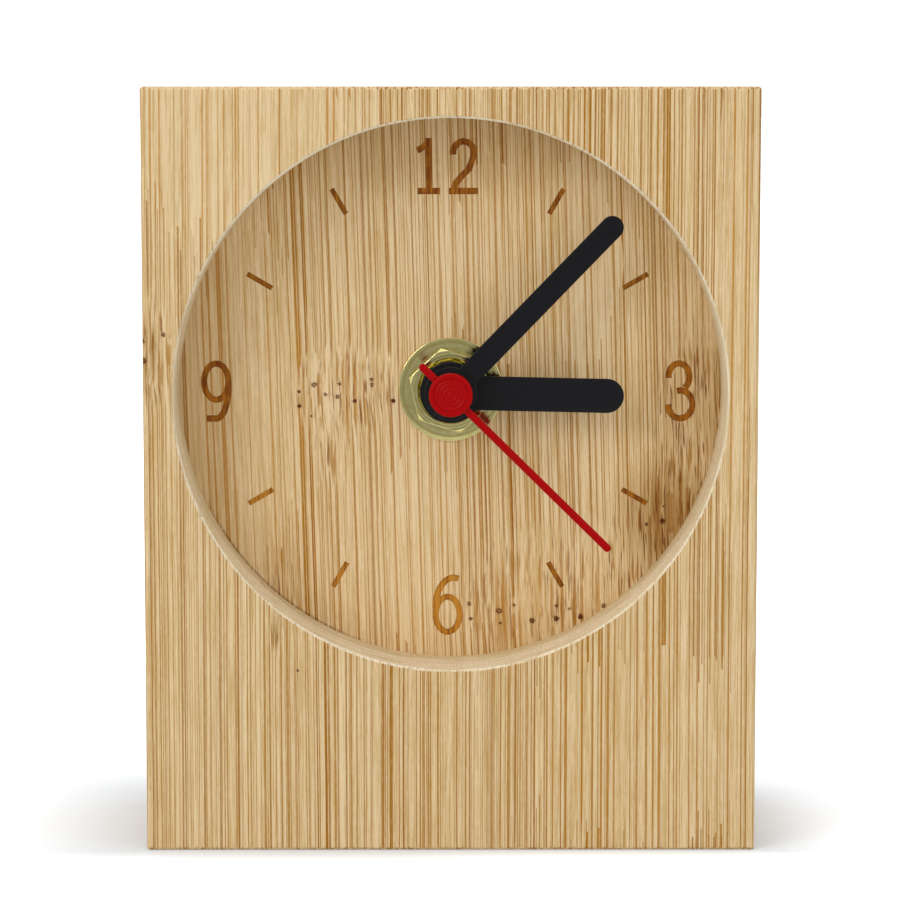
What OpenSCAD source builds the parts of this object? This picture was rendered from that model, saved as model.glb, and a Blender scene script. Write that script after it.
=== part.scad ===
// Desk clock: a bamboo block with a round recess, three hands and a quartz movement behind.
// The clock stands on z = 0, faces -Y, and has x = 0 and y = 0 in the middle of its block.
// Depths run from the front face (0) towards the back. Flat shapes are drawn as seen from the front.

/* [Wooden block] */
// Width of the block
body_w = 80; // [76:0.5:92]
// Height of the block
body_h = 100; // [90:0.5:160]
// Radius of every outer edge
edge_r = 0.5; // [0.2:0.1:1.5]
// Thickness of the front board, which is also the depth of the recess
front_board_t = 10.5; // [9.6:0.1:16]
// Wood between the round hole and each side of the block
side_margin = 4; // [1.5:0.5:8]
// Wood between the round hole and the top of the block
top_margin = 4; // [1.5:0.5:12]
// Chamfer at the front of the round hole
recess_chamfer = 0.3; // [0.1:0.05:0.8]
// Wood between the dial face and the movement pocket
web_t = 3; // [2:0.1:4]
// Room between the movement case and each wall of its pocket
pocket_gap = 0.6; // [0.2:0.1:2]
// How far the movement case sits inside the back face
back_gap = 0.2; // [0.1:0.1:3]

/* [Dial marks] */
// Height of the numerals 3, 6 and 9
numeral_h = 8.2; // [6:0.1:9]
// Width of the numerals 3, 6 and 9
numeral_w = 4.1; // [3:0.1:5]
// Height of the two digits of the numeral 12
twelve_h = 7.4; // [5:0.1:8.5]
// Width of the digit 2 in the numeral 12
two_w = 3.8; // [3:0.1:4.4]
// Width of the foot of the digit 1
one_w = 3; // [2:0.1:3.6]
// Stroke width of the numerals
numeral_stroke = 0.84; // [0.5:0.02:1.1]
// Length of a tick mark
tick_l = 3.8; // [2:0.1:5]
// Width of a tick mark
tick_w = 0.67; // [0.3:0.01:1]
// Depth of the burnt marks
mark_depth = 0.15; // [0.05:0.01:0.4]
// Sideways shift of the whole set of marks
mark_shift_x = -0.4; // [-0.8:0.1:0.8]

/* [Hands] */
// Gap between the hour hand's tip and the recess wall
hour_tip_gap = 13.2; // [10:0.1:18]
// Gap between the minute hand's tip and the recess wall
minute_tip_gap = 4.2; // [2:0.1:10]
// Gap between the second hand's tip and the recess wall
second_tip_gap = 6.7; // [3:0.1:12]
// Width of the hour hand
hour_hand_w = 4.5; // [3:0.1:5.5]
// Width of the minute hand
minute_hand_w = 3; // [2:0.1:4]
// Width of the second hand's needle
second_hand_w = 1; // [0.6:0.02:1.4]
// Length of the second hand's tail, from the axis
second_tail_l = 5.6; // [4:0.1:9]
// Thickness of the hour and minute hands
hand_t = 0.6; // [0.4:0.05:0.8]
// Diameter of the hour hand's round hub
hour_hub_dia = 8.1; // [7:0.1:9]
// Diameter of the minute hand's round hub
minute_hub_dia = 7; // [5:0.1:7.6]
// Diameter of the second hand's round cap
cap_dia = 5.75; // [4.6:0.05:6.6]

/* [Fixing] */
// Outer diameter of the thread that goes through the dial
thread_dia = 8; // [7.4:0.1:8.6]
// Width of the hexagon nut across its flats
nut_flats = 10; // [9.6:0.1:12]
// Thickness of the hexagon nut
nut_t = 2; // [1.6:0.1:2.4]
// Diameter of the washer under the nut
washer_dia = 13.8; // [12.6:0.1:18]
// Thickness of the washer
washer_t = 0.5; // [0.3:0.05:0.7]
// Diameter of the rubber gasket behind the dial
gasket_dia = 24; // [16:0.5:40]
// Thickness of the rubber gasket
gasket_t = 0.8; // [0.5:0.1:1.5]

/* [Movement case] */
// Wall of the case's four sides
case_wall = 1.2; // [0.9:0.1:1.4]
// Wall of the case's front
case_front_t = 1; // [0.8:0.1:1.6]
// Radius of the case's four corners
case_corner_r = 2; // [1:0.1:4]
// Thickness of the cover over the gears
cover_t = 1; // [0.7:0.1:1.4]
// Thickness of the wall between the gears and the battery
partition_t = 1; // [0.8:0.1:1.3]
// Diameter of the hand-setting knob
knob_dia = 8.4; // [6:0.1:10]

/* [Battery] */
// Diameter of the battery
battery_dia = 14.3; // [13.5:0.1:14.5]
// Length of the battery with its nub
battery_l = 50.5; // [50:0.1:52]
// Room at each end of the battery for its contact
contact_room = 1.55; // [1.4:0.05:2.5]
// Room around the battery in its bay
battery_play = 0.2; // [0.15:0.05:0.4]

/* [Gears] */
// Thickness of every gear wheel
wheel_t = 0.7; // [0.5:0.05:0.8]
// Tooth size of the wheels that turn the second hand
seconds_module = 0.25; // [0.24:0.005:0.26]
// Tooth size of the cannon pinion, motion wheel and setting pinion
motion_module = 0.3; // [0.29:0.005:0.31]
// Diameter of the second hand's arbor
second_arbor_dia = 1; // [0.7:0.05:1.1]
// Outer diameter of the minute pipe
minute_pipe_dia = 3; // [2.6:0.05:3.05]
// Outer diameter of the hour pipe
hour_pipe_dia = 5; // [4.4:0.05:5.4]
// Diameter of the other arbors
arbor_dia = 0.8; // [0.5:0.05:0.9]

/* [Clearances] */
// Radial clearance where a shaft turns in a hole
run_gap = 0.06; // [0.03:0.01:0.09]
// Radial clearance where one piece is pushed onto another
push_gap = 0.02; // [0.01:0.01:0.04]
// Gap along the axis between parts that turn past each other
layer_gap = 0.3; // [0.15:0.05:0.35]
// How much each tooth flank is thinned
flank_gap = 0.02; // [0.015:0.005:0.03]

/* [Hidden] */
$fn = 64;

// Overrun of every cut past the face that it opens
over = 0.5;

// Colours, as the photograph shows the pieces in front
front_wood = [0.79, 0.67, 0.49];
dial_wood = [0.74, 0.61, 0.42];
black_plastic = [0.1, 0.1, 0.11];
red_plastic = [0.78, 0.06, 0.07];
brass = [0.72, 0.66, 0.36];
steel = [0.7, 0.7, 0.72];
case_plastic = [0.13, 0.13, 0.14];
pale_plastic = [0.9, 0.9, 0.87];
rubber = [0.07, 0.07, 0.07];
copper = [0.72, 0.38, 0.18];
board_green = [0.1, 0.36, 0.2];

// Angles of the hands, clockwise from 12 as seen from the front
hour_angle = 91.26;
minute_angle = 44.08;
second_angle = 134.55;
// Turn of the nut from having a corner at 12
nut_angle = -12.8;

// Places along the depth, from the front face, for what is in front of the dial
recess_dia = body_w - 2 * side_margin;
recess_r = recess_dia / 2;
dial_z = body_h - top_margin - recess_r;
dial_depth = front_board_t;
// How far the thread shows past the nut
thread_over = 0.2;
washer_front = dial_depth - washer_t;
nut_front = washer_front - nut_t;
thread_front = nut_front - thread_over;
// Heights of one hand's face over the piece below it
hour_rise = 2.5;
minute_rise = 0.9;
second_rise = 1.9;
cap_rise = 0.6;
hour_front = thread_front - hour_rise;
minute_front = hour_front - minute_rise - hand_t;
second_front = minute_front - second_rise;
cap_front = second_front - cap_rise;

// Places along the depth for what is behind the dial
pocket_depth = dial_depth + web_t;
case_front = pocket_depth + gasket_t;
case_floor = case_front + case_front_t;
flange_t = 0.5;
pinion_over = 0.1;
hour_wheel_front = case_floor + flange_t + layer_gap;
motion_wheel_front = hour_wheel_front + wheel_t + layer_gap;
cannon_back = motion_wheel_front + wheel_t + pinion_over;
// Height of the clutch spring as fitted, and its sheet thickness
clutch_h = 0.65;
clutch_sheet = 0.15;
clutch_play = 0.05;
centre_wheel_front = cannon_back + clutch_h + 2 * clutch_play;
pipe_flange_t = 0.3;
pipe_back = centre_wheel_front + wheel_t + clutch_play + pipe_flange_t;
plate_t = 0.7;
middle_plate_front = pipe_back + layer_gap;
third_wheel_front = middle_plate_front + plate_t + layer_gap + pinion_over;
second_wheel_front = third_wheel_front + wheel_t + 2 * layer_gap;
intermediate_front = second_wheel_front + wheel_t + layer_gap + pinion_over;
rear_plate_front = intermediate_front + wheel_t + layer_gap + 2 * pinion_over;
rear_plate_back = rear_plate_front + plate_t;
// Room between the rear plate and the cover, for the knob's dish
dish_room = 3.4;
gear_bay_depth = rear_plate_back + dish_room - case_floor;
battery_bay_depth = battery_dia + battery_play;
case_back = case_floor + max(gear_bay_depth + cover_t, battery_bay_depth);
cover_front = case_back - cover_t;
body_d = case_back + back_gap;

// Tooth numbers
second_wheel_teeth = 48;
intermediate_pinion_teeth = 8;
intermediate_wheel_teeth = 40;
rotor_teeth = 8;
second_pinion_teeth = 8;
third_wheel_teeth = 60;
third_pinion_teeth = 8;
centre_wheel_teeth = 64;
cannon_teeth = 12;
motion_wheel_teeth = 36;
motion_pinion_teeth = 10;
hour_wheel_teeth = 40;
setting_teeth = 14;

// Tooth form: pressure angle, and shares of the module
pressure_angle = 20;
addendum_share = 0.8;
dedendum_share = 1.25;
pinion_shift_share = 0.5;
wheel_shift_share = -0.5;
flank_steps = 2;

// Centre distances, from the module and the tooth numbers
function centre_distance(m, a, b) = m * (a + b) / 2;
intermediate_dist = centre_distance(seconds_module, second_wheel_teeth, intermediate_pinion_teeth);
rotor_dist = centre_distance(seconds_module, intermediate_wheel_teeth, rotor_teeth);
third_dist = centre_distance(seconds_module, second_pinion_teeth, third_wheel_teeth);
motion_dist = centre_distance(motion_module, cannon_teeth, motion_wheel_teeth);
setting_dist = centre_distance(motion_module, motion_wheel_teeth, setting_teeth);
// The last two pairs share those distances, so their tooth sizes follow
centre_module = 2 * third_dist / (third_pinion_teeth + centre_wheel_teeth);
hour_module = 2 * motion_dist / (motion_pinion_teeth + hour_wheel_teeth);

// Directions from one arbor to the next, anticlockwise from 3 o'clock
intermediate_dir = 150;
rotor_dir = 180;
third_dir = 60;
motion_dir = -20;
setting_dir = -10;
function polar(r, a) = [r * cos(a), r * sin(a)];
centre_at = [0, 0];
intermediate_at = polar(intermediate_dist, intermediate_dir);
rotor_at = intermediate_at + polar(rotor_dist, rotor_dir);
third_at = polar(third_dist, third_dir);
motion_at = polar(motion_dist, motion_dir);
setting_at = motion_at + polar(setting_dist, setting_dir);

// Phase of the driven gear, so that its gaps meet the other gear's teeth
function mesh_phase(phase_a, teeth_a, teeth_b, dir) =
    dir + 180 + 180 / teeth_b - (phase_a - dir) * teeth_a / teeth_b;

// Posts that carry the two plates
post_r = 1.4;
post_pin_r = 0.7;
post_wall_gap = 0.7;
post_core_gap = 0.05;

// Coil, its core and the stator. The coil stands beside the rotor.
coil_rotor_dist = 8.4;
coil_wall_gap = 6.3;
core_l = 22;
core_w = 3;
core_t = 1;
core_top = rotor_at[1] + core_l / 2;
core_foot = rotor_at[1] - core_l / 2;
coil_x = rotor_at[0] - coil_rotor_dist;

// Blocks in the case's upper corners, under the cover
corner_block = 3;

// Height of the circuit board, above the coil's core
board_h = 7;
board_side_gap = 0.4;
board_core_gap = 1.8;

// The case is square. From the axis to its inside is the most that one of these needs: the battery
// with its contacts, the coil, the circuit board over the coil's core, or what lies below the core.
battery_room = battery_l / 2 + contact_room;
coil_room = coil_wall_gap - coil_x;
upper_room = core_top + board_core_gap + board_h + board_side_gap + corner_block;
lower_room = post_core_gap + 2 * post_r + post_wall_gap + partition_t + battery_dia + 2 * battery_play
    - core_foot;
bay_half = max(battery_room, coil_room, upper_room, lower_room);
bay_w = 2 * bay_half;
case_w = bay_w + 2 * case_wall;
case_half = case_w / 2;
pocket_w = case_w + 2 * pocket_gap;
bay_top = case_wall + battery_dia + 2 * battery_play - case_half;
partition_top = bay_top + partition_t;
battery_z = case_wall + battery_play + battery_dia / 2 - case_half;
battery_depth = case_floor + battery_play / 2 + battery_dia / 2;

// Places of the posts, the lower one left of the axis, and the plates' outline round them
lower_post_x = 8;
upper_post_dist = 14.1;
upper_post_dir = 113;
side_post_dist = 15.7;
side_post_dir = 22.5;
lower_post_at = [-lower_post_x, partition_top + post_wall_gap + post_r];
upper_post_at = polar(upper_post_dist, upper_post_dir);
side_post_at = polar(side_post_dist, side_post_dir);
post_places = [lower_post_at, upper_post_at, side_post_at];
plate_edge_r = 1.8;
plate_rotor_over = 1.2;
plate_third_over = 4.7;
plate_corners = [rotor_at - [plate_rotor_over, plate_rotor_over], lower_post_at,
    [motion_at[0] / 2, lower_post_at[1]], side_post_at,
    third_at + [plate_third_over, plate_third_over], upper_post_at,
    rotor_at + [-plate_rotor_over, plate_rotor_over]];

// Bobbin, winding and stator
bobbin_l = 14;
bobbin_flange_w = 7.4;
bobbin_flange_t = 0.8;
bobbin_wall = 0.5;
winding_r = 3.4;
stator_t = 0.8;
stator_hole_r = 3;
stator_ring_r = 4.6;
magnet_r = 2.6;
stator_front = middle_plate_front + plate_t + 2 * layer_gap;
core_front = stator_front - core_t;
core_mid = core_front + core_t / 2;
coil_at = [coil_x, rotor_at[1]];
coil_screw_rise = core_l / 2 - core_w / 2;
coil_screw_places = [coil_at + [0, coil_screw_rise], coil_at - [0, coil_screw_rise]];

// Circuit board and what is on it, the chip left of the axis
board_t = 1;
board_w = bay_w - 2 * board_side_gap;
board_at = [0, bay_half - corner_block - board_side_gap - board_h / 2];
board_front = stator_front;
board_back = board_front + board_t;
board_screw_x = 18;
board_screw_places = [[board_screw_x, board_at[1]], [-board_screw_x, board_at[1]]];
crystal_r = 1;
crystal_l = 6;
crystal_x = 6;
crystal_at = [crystal_x, board_at[1]];
crystal_lead_r = 0.2;
crystal_lead_l = 1.6;
crystal_lead_gap = 0.8;
chip_r = 2.2;
chip_h = 0.9;
chip_x = 4;
chip_at = [-chip_x, board_at[1]];

// Small screws, all alike
screw_r = 0.8;
screw_head_r = 1.5;
screw_head_t = 0.7;
screw_slot_w = 0.35;
screw_slot_t = 0.3;
screw_l = 3.6;
screw_post_r = 1.5;

// Contacts: a leaf on the case's side wall, bowed towards the battery
leaf_t = 0.3;
leaf_w = 5;
leaf_bow_h = 7;
leaf_wall_gap = 0.05;
leaf_touch_gap = 0.02;
leaf_tab_l = 2.4;
leaf_foot = battery_z - leaf_bow_h;
leaf_head = board_at[1] + leaf_tab_l / 2;
slot_gap = 0.15;

// Battery
nub_r = 2.75;
nub_l = 1.2;
battery_edge_r = 0.6;
battery_dish_r = 4.6;
battery_dish_t = 0.3;

// Cover and knob
cover_gap = 0.1;
snap_x = 12;
snap_w = 4;
snap_l = 3;
snap_t = 0.7;
snap_hook = 0.5;
snap_hook_l = 1;
snap_gap = 0.1;
dish_wall = 0.7;
dish_gap = 0.6;
dish_r = knob_dia / 2 + dish_gap;
dish_floor_back = rear_plate_back + dish_room / 2;
knob_back_gap = 0.2;
knob_front = dish_floor_back + layer_gap;
knob_back = case_back - knob_back_gap;
knob_flutes = 18;
flute_r = 0.45;
setting_shaft_r = 1;
setting_pivot_r = 0.6;
pivot_boss_r = 1.5;
arbor_r = arbor_dia / 2;
second_arbor_r = second_arbor_dia / 2;
minute_pipe_r = minute_pipe_dia / 2;
hour_pipe_r = hour_pipe_dia / 2;
thread_r = thread_dia / 2;

// A flat shape, drawn from the front, made solid from one depth to another
module layer(from, to, at = [0, 0]) {
    translate([at[0], to - body_d / 2, dial_z + at[1]])
        rotate([90, 0, 0])
            linear_extrude(to - from)
                children();
}

// A round bar along the depth
module rod(from, to, r, at = [0, 0]) {
    translate([at[0], to - body_d / 2, dial_z + at[1]])
        rotate([90, 0, 0])
            cylinder(h = to - from, r = r);
}

// A rectangle with round corners, centred
module round_rect(w, h, r) {
    square([w - 2 * r, h], center = true);
    square([w, h - 2 * r], center = true);
    for (sx = [-1, 1], sy = [-1, 1])
        translate([sx * (w / 2 - r), sy * (h / 2 - r)])
            circle(r);
}

// A bar with round ends from one point to another
module link(p, q, w) {
    l = norm(q - p);
    translate(p)
        circle(w / 2);
    translate(q)
        circle(w / 2);
    translate(p)
        rotate(atan2(q[1] - p[1], q[0] - p[0]))
            translate([0, -w / 2])
                square([l, w]);
}

// A convex outline, drawn anticlockwise, moved out by a radius with round corners
corner_steps = 6;
function outward(p, q) = atan2(q[1] - p[1], q[0] - p[0]) - 90;
function corner_arc(points, i, r) = let (
        n = len(points),
        before = outward(points[(i + n - 1) % n], points[i]),
        turn = (outward(points[i], points[(i + 1) % n]) - before + 720) % 360)
    [for (k = [0:corner_steps]) points[i] + polar(r, before + turn * k / corner_steps)];
module soft_polygon(points, r) {
    polygon([for (i = [0:len(points) - 1]) each corner_arc(points, i, r)]);
}

// The stroke of a pen along a line of points
function unit_normal(a, b) = let (d = b - a) [-d[1], d[0]] / norm(d);
function side_point(points, i, s) = let (
        n = len(points) - 1,
        before = unit_normal(points[max(i - 1, 0)], points[max(i, 1)]),
        after = unit_normal(points[min(i, n - 1)], points[min(i + 1, n)]),
        middle = before + after,
        lean = middle / (middle * middle / 2))
    points[i] + s * lean;
module pen(points, w) {
    n = len(points) - 1;
    polygon(concat([for (i = [0:n]) side_point(points, i, w / 2)],
        [for (i = [n:-1:0]) side_point(points, i, -w / 2)]));
}

// Points on an ellipse arc, about a centre, with angles anticlockwise from the right
arc_steps = 18;
function arc(c, rx, ry, a, b) =
    [for (i = [0:arc_steps]) let (t = a + (b - a) * i / arc_steps) c + [rx * cos(t), ry * sin(t)]];

// Digits. Shares run from -1 to 1 across the middle line of the stroke.
function scaled(shares, a, b) = [for (p = shares) [p[0] * a, p[1] * b]];
function stroke_half(size) = (size - numeral_stroke) / 2;
// Arcs of the digits: the centre across and up, then the half width and half height, as shares
two_bowl_shares = [0, 0.53, 0.93, 0.47];
three_top_shares = [-0.12, 0.52, 0.86, 0.48];
three_low_shares = [0, -0.49, 1, 0.51];
six_tail_shares = [0.5, -0.1, 1.5, 1.1];
nine_tail_shares = [0, 0.2, 1, 1.2];
six_bowl_share = -0.35;
nine_bowl_share = 0.34;
// Where those arcs start and end, anticlockwise from the right
two_bowl_angles = [188, -32];
three_top_angles = [186, -58];
three_low_angles = [106, -180];
six_tail_angles = [182, 74];
nine_tail_angles = [4, -90];
function share_arc(s, angles, a, b) =
    arc([s[0] * a, s[1] * b], s[2] * a, s[3] * b, angles[0], angles[1]);
one_flag_shares = [[-1.4, 0.62], [-0.55, 0.8], [0.12, 1]];
two_tail_shares = [[0.52, -0.1], [-0.17, -0.4], [-0.68, -0.68], [-0.88, -1]];
module digit_one() {
    a = stroke_half(one_w);
    b = stroke_half(twelve_h);
    translate([-numeral_stroke / 2, -twelve_h / 2])
        square([numeral_stroke, twelve_h]);
    translate([-one_w / 2, -twelve_h / 2])
        square([one_w, numeral_stroke]);
    pen(scaled(one_flag_shares, a, b), numeral_stroke);
}
module digit_two() {
    a = stroke_half(two_w);
    b = stroke_half(twelve_h);
    top = share_arc(two_bowl_shares, two_bowl_angles, a, b);
    pen(concat(top, scaled(two_tail_shares, a, b)), numeral_stroke);
    translate([-two_w / 2, -twelve_h / 2])
        square([two_w, numeral_stroke]);
}
module digit_three() {
    a = stroke_half(numeral_w);
    b = stroke_half(numeral_h);
    pen(share_arc(three_top_shares, three_top_angles, a, b), numeral_stroke);
    pen(share_arc(three_low_shares, three_low_angles, a, b), numeral_stroke);
}
module bowl(v_share) {
    a = numeral_w / 2;
    b = stroke_half(numeral_h) * (1 - abs(v_share)) + numeral_stroke / 2;
    translate([0, v_share * stroke_half(numeral_h)])
        difference() {
            polygon(arc([0, 0], a, b, 0, 360 - 360 / arc_steps));
            polygon(arc([0, 0], a - numeral_stroke, b - numeral_stroke, 0, 360 - 360 / arc_steps));
        }
}
module digit_six() {
    a = stroke_half(numeral_w);
    b = stroke_half(numeral_h);
    bowl(six_bowl_share);
    pen(share_arc(six_tail_shares, six_tail_angles, a, b), numeral_stroke);
}
nine_foot_shares = [[-0.35, -1], [-0.8, -1]];
module digit_nine() {
    a = stroke_half(numeral_w);
    b = stroke_half(numeral_h);
    tail = share_arc(nine_tail_shares, nine_tail_angles, a, b);
    bowl(nine_bowl_share);
    pen(concat(tail, scaled(nine_foot_shares, a, b)), numeral_stroke);
}

// Where the marks stand, as gaps from the recess wall
tick_gap = 5.3;
twelve_gap = 6.4;
three_gap = 5;
six_gap = 6.95;
nine_gap = 5.2;
digit_gap = 1.2;
three_drop = 0.25;
module dial_marks() {
    tick_mid = recess_r - tick_gap - tick_l / 2;
    twelve_z = recess_r - twelve_gap;
    one_x = -(two_w + digit_gap) / 2;
    two_x = (one_w + digit_gap) / 2;
    for (hour = [1:11])
        if (hour % 3 != 0)
            rotate(-30 * hour)
                translate([0, tick_mid])
                    square([tick_w, tick_l], center = true);
    translate([one_x, twelve_z])
        digit_one();
    translate([two_x, twelve_z])
        digit_two();
    translate([recess_r - three_gap, -three_drop])
        digit_three();
    translate([0, six_gap - recess_r])
        digit_six();
    translate([nine_gap - recess_r, -three_drop])
        digit_nine();
}

// The whole wooden block, with round edges all over
module block() {
    intersection() {
        translate([0, body_d / 2, body_h / 2])
            rotate([90, 0, 0])
                linear_extrude(body_d)
                    round_rect(body_w, body_h, edge_r);
        linear_extrude(body_h)
            round_rect(body_w, body_d, edge_r);
        translate([-body_w / 2, 0, body_h / 2])
            rotate([90, 0, 90])
                linear_extrude(body_w)
                    round_rect(body_d, body_h, edge_r);
    }
}
module block_slice(from, to) {
    translate([-body_w / 2 - over, from - body_d / 2, -over])
        cube([body_w + 2 * over, to - from, body_h + 2 * over]);
}

module front_board() {
    color(front_wood)
        difference() {
            intersection() {
                block();
                block_slice(-over, front_board_t);
            }
            rod(-over, front_board_t + over, recess_r);
            translate([0, recess_chamfer - body_d / 2, dial_z])
                rotate([90, 0, 0])
                    cylinder(h = recess_chamfer + over, r1 = recess_r,
                        r2 = recess_r + recess_chamfer + over);
        }
}

module rear_block() {
    color(dial_wood)
        difference() {
            intersection() {
                block();
                block_slice(front_board_t, body_d + over);
            }
            layer(dial_depth - over, dial_depth + mark_depth, [mark_shift_x, 0])
                dial_marks();
            rod(dial_depth - over, pocket_depth + over, thread_r + hole_gap);
            layer(pocket_depth, body_d + over)
                round_rect(pocket_w, pocket_w, case_corner_r + pocket_gap);
        }
}

// Gap between the thread and what it goes through
hole_gap = 0.25;
module rubber_gasket() {
    color(rubber)
        difference() {
            rod(pocket_depth, case_front, gasket_dia / 2);
            rod(pocket_depth - over, case_front + over, thread_r + hole_gap);
        }
}

module brass_washer() {
    color(brass)
        difference() {
            rod(washer_front, dial_depth, washer_dia / 2);
            rod(washer_front - over, dial_depth + over, thread_r + hole_gap);
        }
}

// Chamfer of the nut's corners, across its corners, and its slope
nut_chamfer = 0.25;
nut_slope = 1.7;
module hex_nut() {
    corner_r = nut_flats / 2 / cos(30);
    face_r = corner_r - nut_chamfer;
    color(brass)
        difference() {
            intersection() {
                layer(nut_front, washer_front)
                    rotate(90 - nut_angle)
                        circle(corner_r, $fn = 6);
                translate([0, washer_front - body_d / 2, dial_z])
                    rotate([90, 0, 0])
                        cylinder(h = nut_t, r1 = face_r + nut_t * nut_slope, r2 = face_r);
            }
            rod(nut_front - over, washer_front + over, thread_r + push_gap);
        }
}

// Pockets in the case's walls that the cover's hooks snap into
module snap_windows(gap) {
    for (sx = [-1, 1]) {
        translate([sx * snap_x, snap_window_y - gap, dial_z + bay_half - cover_gap])
            translate([-snap_w / 2 - gap, 0, 0])
                cube([snap_w + 2 * gap, snap_hook_l + 2 * gap, snap_hook + gap + cover_gap]);
        translate([sx * snap_x, snap_window_y - gap, dial_z + partition_top - snap_hook - gap + cover_gap])
            translate([-snap_w / 2 - gap, 0, 0])
                cube([snap_w + 2 * gap, snap_hook_l + 2 * gap, snap_hook + gap]);
    }
}
snap_window_y = cover_front - snap_l - body_d / 2;

module case_post(at, to, r) {
    rod(case_floor - case_front_t / 2, to, r, at);
}

// A blind hole in the top of a post, for a screw
module screw_hole(at, seat) {
    rod(seat - screw_l + screw_head_t, seat + over, screw_r + push_gap, at);
}

// A blind hole in the case's front wall, for the end of an arbor
module pivot_hole(at, r) {
    rod(case_floor - case_front_t / 2, hour_wheel_front + over, r + run_gap, at);
}

module movement_case() {
    color(case_plastic)
        difference() {
            union() {
                difference() {
                    layer(case_front, case_back)
                        round_rect(case_w, case_w, case_corner_r);
                    translate([-bay_half, case_floor - body_d / 2, dial_z + partition_top])
                        cube([bay_w, case_back - case_floor + over, bay_half - partition_top]);
                    translate([-bay_half, case_floor - body_d / 2, dial_z - bay_half])
                        cube([bay_w, case_back - case_floor + over, bay_top + bay_half]);
                }
                for (at = post_places) {
                    case_post(at, middle_plate_front, post_r);
                    rod(middle_plate_front - over, rear_plate_back, post_pin_r, at);
                }
                for (at = coil_screw_places)
                    case_post(at, core_front, screw_post_r);
                for (at = board_screw_places)
                    case_post(at, board_front, screw_post_r);
                case_post(motion_at, motion_wheel_front + wheel_t + layer_gap, arbor_r);
                case_post(setting_at, hour_wheel_front, pivot_boss_r);
                case_post(third_at, hour_wheel_front, pivot_boss_r);
                for (sx = [-1, 1])
                    translate([sx * (bay_half - corner_block / 2), case_floor - body_d / 2,
                            dial_z + bay_half - corner_block / 2])
                        translate([-corner_block / 2, 0, -corner_block / 2])
                            cube([corner_block, cover_front - case_floor, corner_block]);
            }
            translate([-bay_half - over, cover_front - body_d / 2, dial_z + bay_top - over])
                translate([over, 0, 0])
                    cube([bay_w, cover_t + over, partition_t + 2 * over]);
            rod(case_front - over, case_floor + over, thread_r + push_gap);
            pivot_hole(setting_at, setting_pivot_r);
            pivot_hole(third_at, arbor_r);
            for (at = coil_screw_places)
                screw_hole(at, stator_front + stator_t);
            for (at = board_screw_places)
                screw_hole(at, board_back);
            snap_windows(snap_gap);
            for (sx = [-1, 1])
                translate([sx * (bay_half - leaf_slot_w / 2), battery_depth - body_d / 2,
                        dial_z + bay_top + partition_t / 2])
                    cube([leaf_slot_w, leaf_w + 2 * slot_gap, partition_t + 2 * over], center = true);
        }
}
leaf_slot_w = leaf_wall_gap + leaf_t + slot_gap;

module threaded_bushing() {
    color(brass)
        difference() {
            union() {
                rod(thread_front, case_floor + flange_t / 2, thread_r);
                rod(case_floor, case_floor + flange_t, flange_r);
            }
            rod(thread_front - over, case_floor + flange_t + over, hour_pipe_r + run_gap);
        }
}
flange_r = 5.3;

// A springy arm under the cover, with a hook below its outer end
module snap_arm() {
    cube([snap_w, snap_l + cover_t / 2, snap_t]);
    translate([0, 0, -snap_hook])
        cube([snap_w, snap_hook_l, snap_t + snap_hook]);
}

module case_cover() {
    color(case_plastic)
        difference() {
            union() {
                translate([-bay_half + cover_gap, cover_front - body_d / 2, dial_z + bay_top + cover_gap])
                    cube([bay_w - 2 * cover_gap, cover_t, bay_half - bay_top - 2 * cover_gap]);
                for (sx = [-1, 1]) {
                    translate([sx * snap_x - snap_w / 2, snap_window_y, dial_z + bay_half - cover_gap])
                        mirror([0, 0, 1])
                            snap_arm();
                    translate([sx * snap_x - snap_w / 2, snap_window_y,
                            dial_z + partition_top + cover_gap])
                        snap_arm();
                }
                rod(dish_floor_back - dish_wall, case_back, dish_r + dish_wall, setting_at);
                for (at = post_places)
                    rod(rear_plate_back, cover_front + cover_t / 2, post_r, at);
            }
            rod(dish_floor_back, case_back + over, dish_r, setting_at);
            rod(dish_floor_back - dish_wall - over, case_back, setting_shaft_r + run_gap, setting_at);
        }
}

module plate_outline() {
    soft_polygon(plate_corners, plate_edge_r);
}

module middle_plate() {
    color(pale_plastic)
        difference() {
            layer(middle_plate_front, middle_plate_front + plate_t)
                plate_outline();
            plate_hole(middle_plate_front, centre_at, second_arbor_r + run_gap);
            plate_hole(middle_plate_front, intermediate_at, arbor_r + run_gap);
            plate_hole(middle_plate_front, rotor_at, arbor_r + run_gap);
            plate_hole(middle_plate_front, third_at, third_pass_r);
            for (at = post_places)
                plate_hole(middle_plate_front, at, post_pin_r + push_gap);
        }
}
third_pass_r = 1.6;
module plate_hole(front, at, r) {
    rod(front - over, front + plate_t + over, r, at);
}

module rear_plate() {
    color(pale_plastic)
        difference() {
            union() {
                layer(rear_plate_front, rear_plate_back)
                    plate_outline();
                for (at = post_places)
                    rod(middle_plate_front + plate_t, rear_plate_front + plate_t / 2, post_r, at);
            }
            plate_hole(rear_plate_front, centre_at, second_arbor_r + run_gap);
            for (at = [intermediate_at, rotor_at, third_at])
                plate_hole(rear_plate_front, at, arbor_r + run_gap);
            for (at = post_places)
                rod(middle_plate_front, rear_plate_back + over, post_pin_r + push_gap, at);
        }
}

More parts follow.
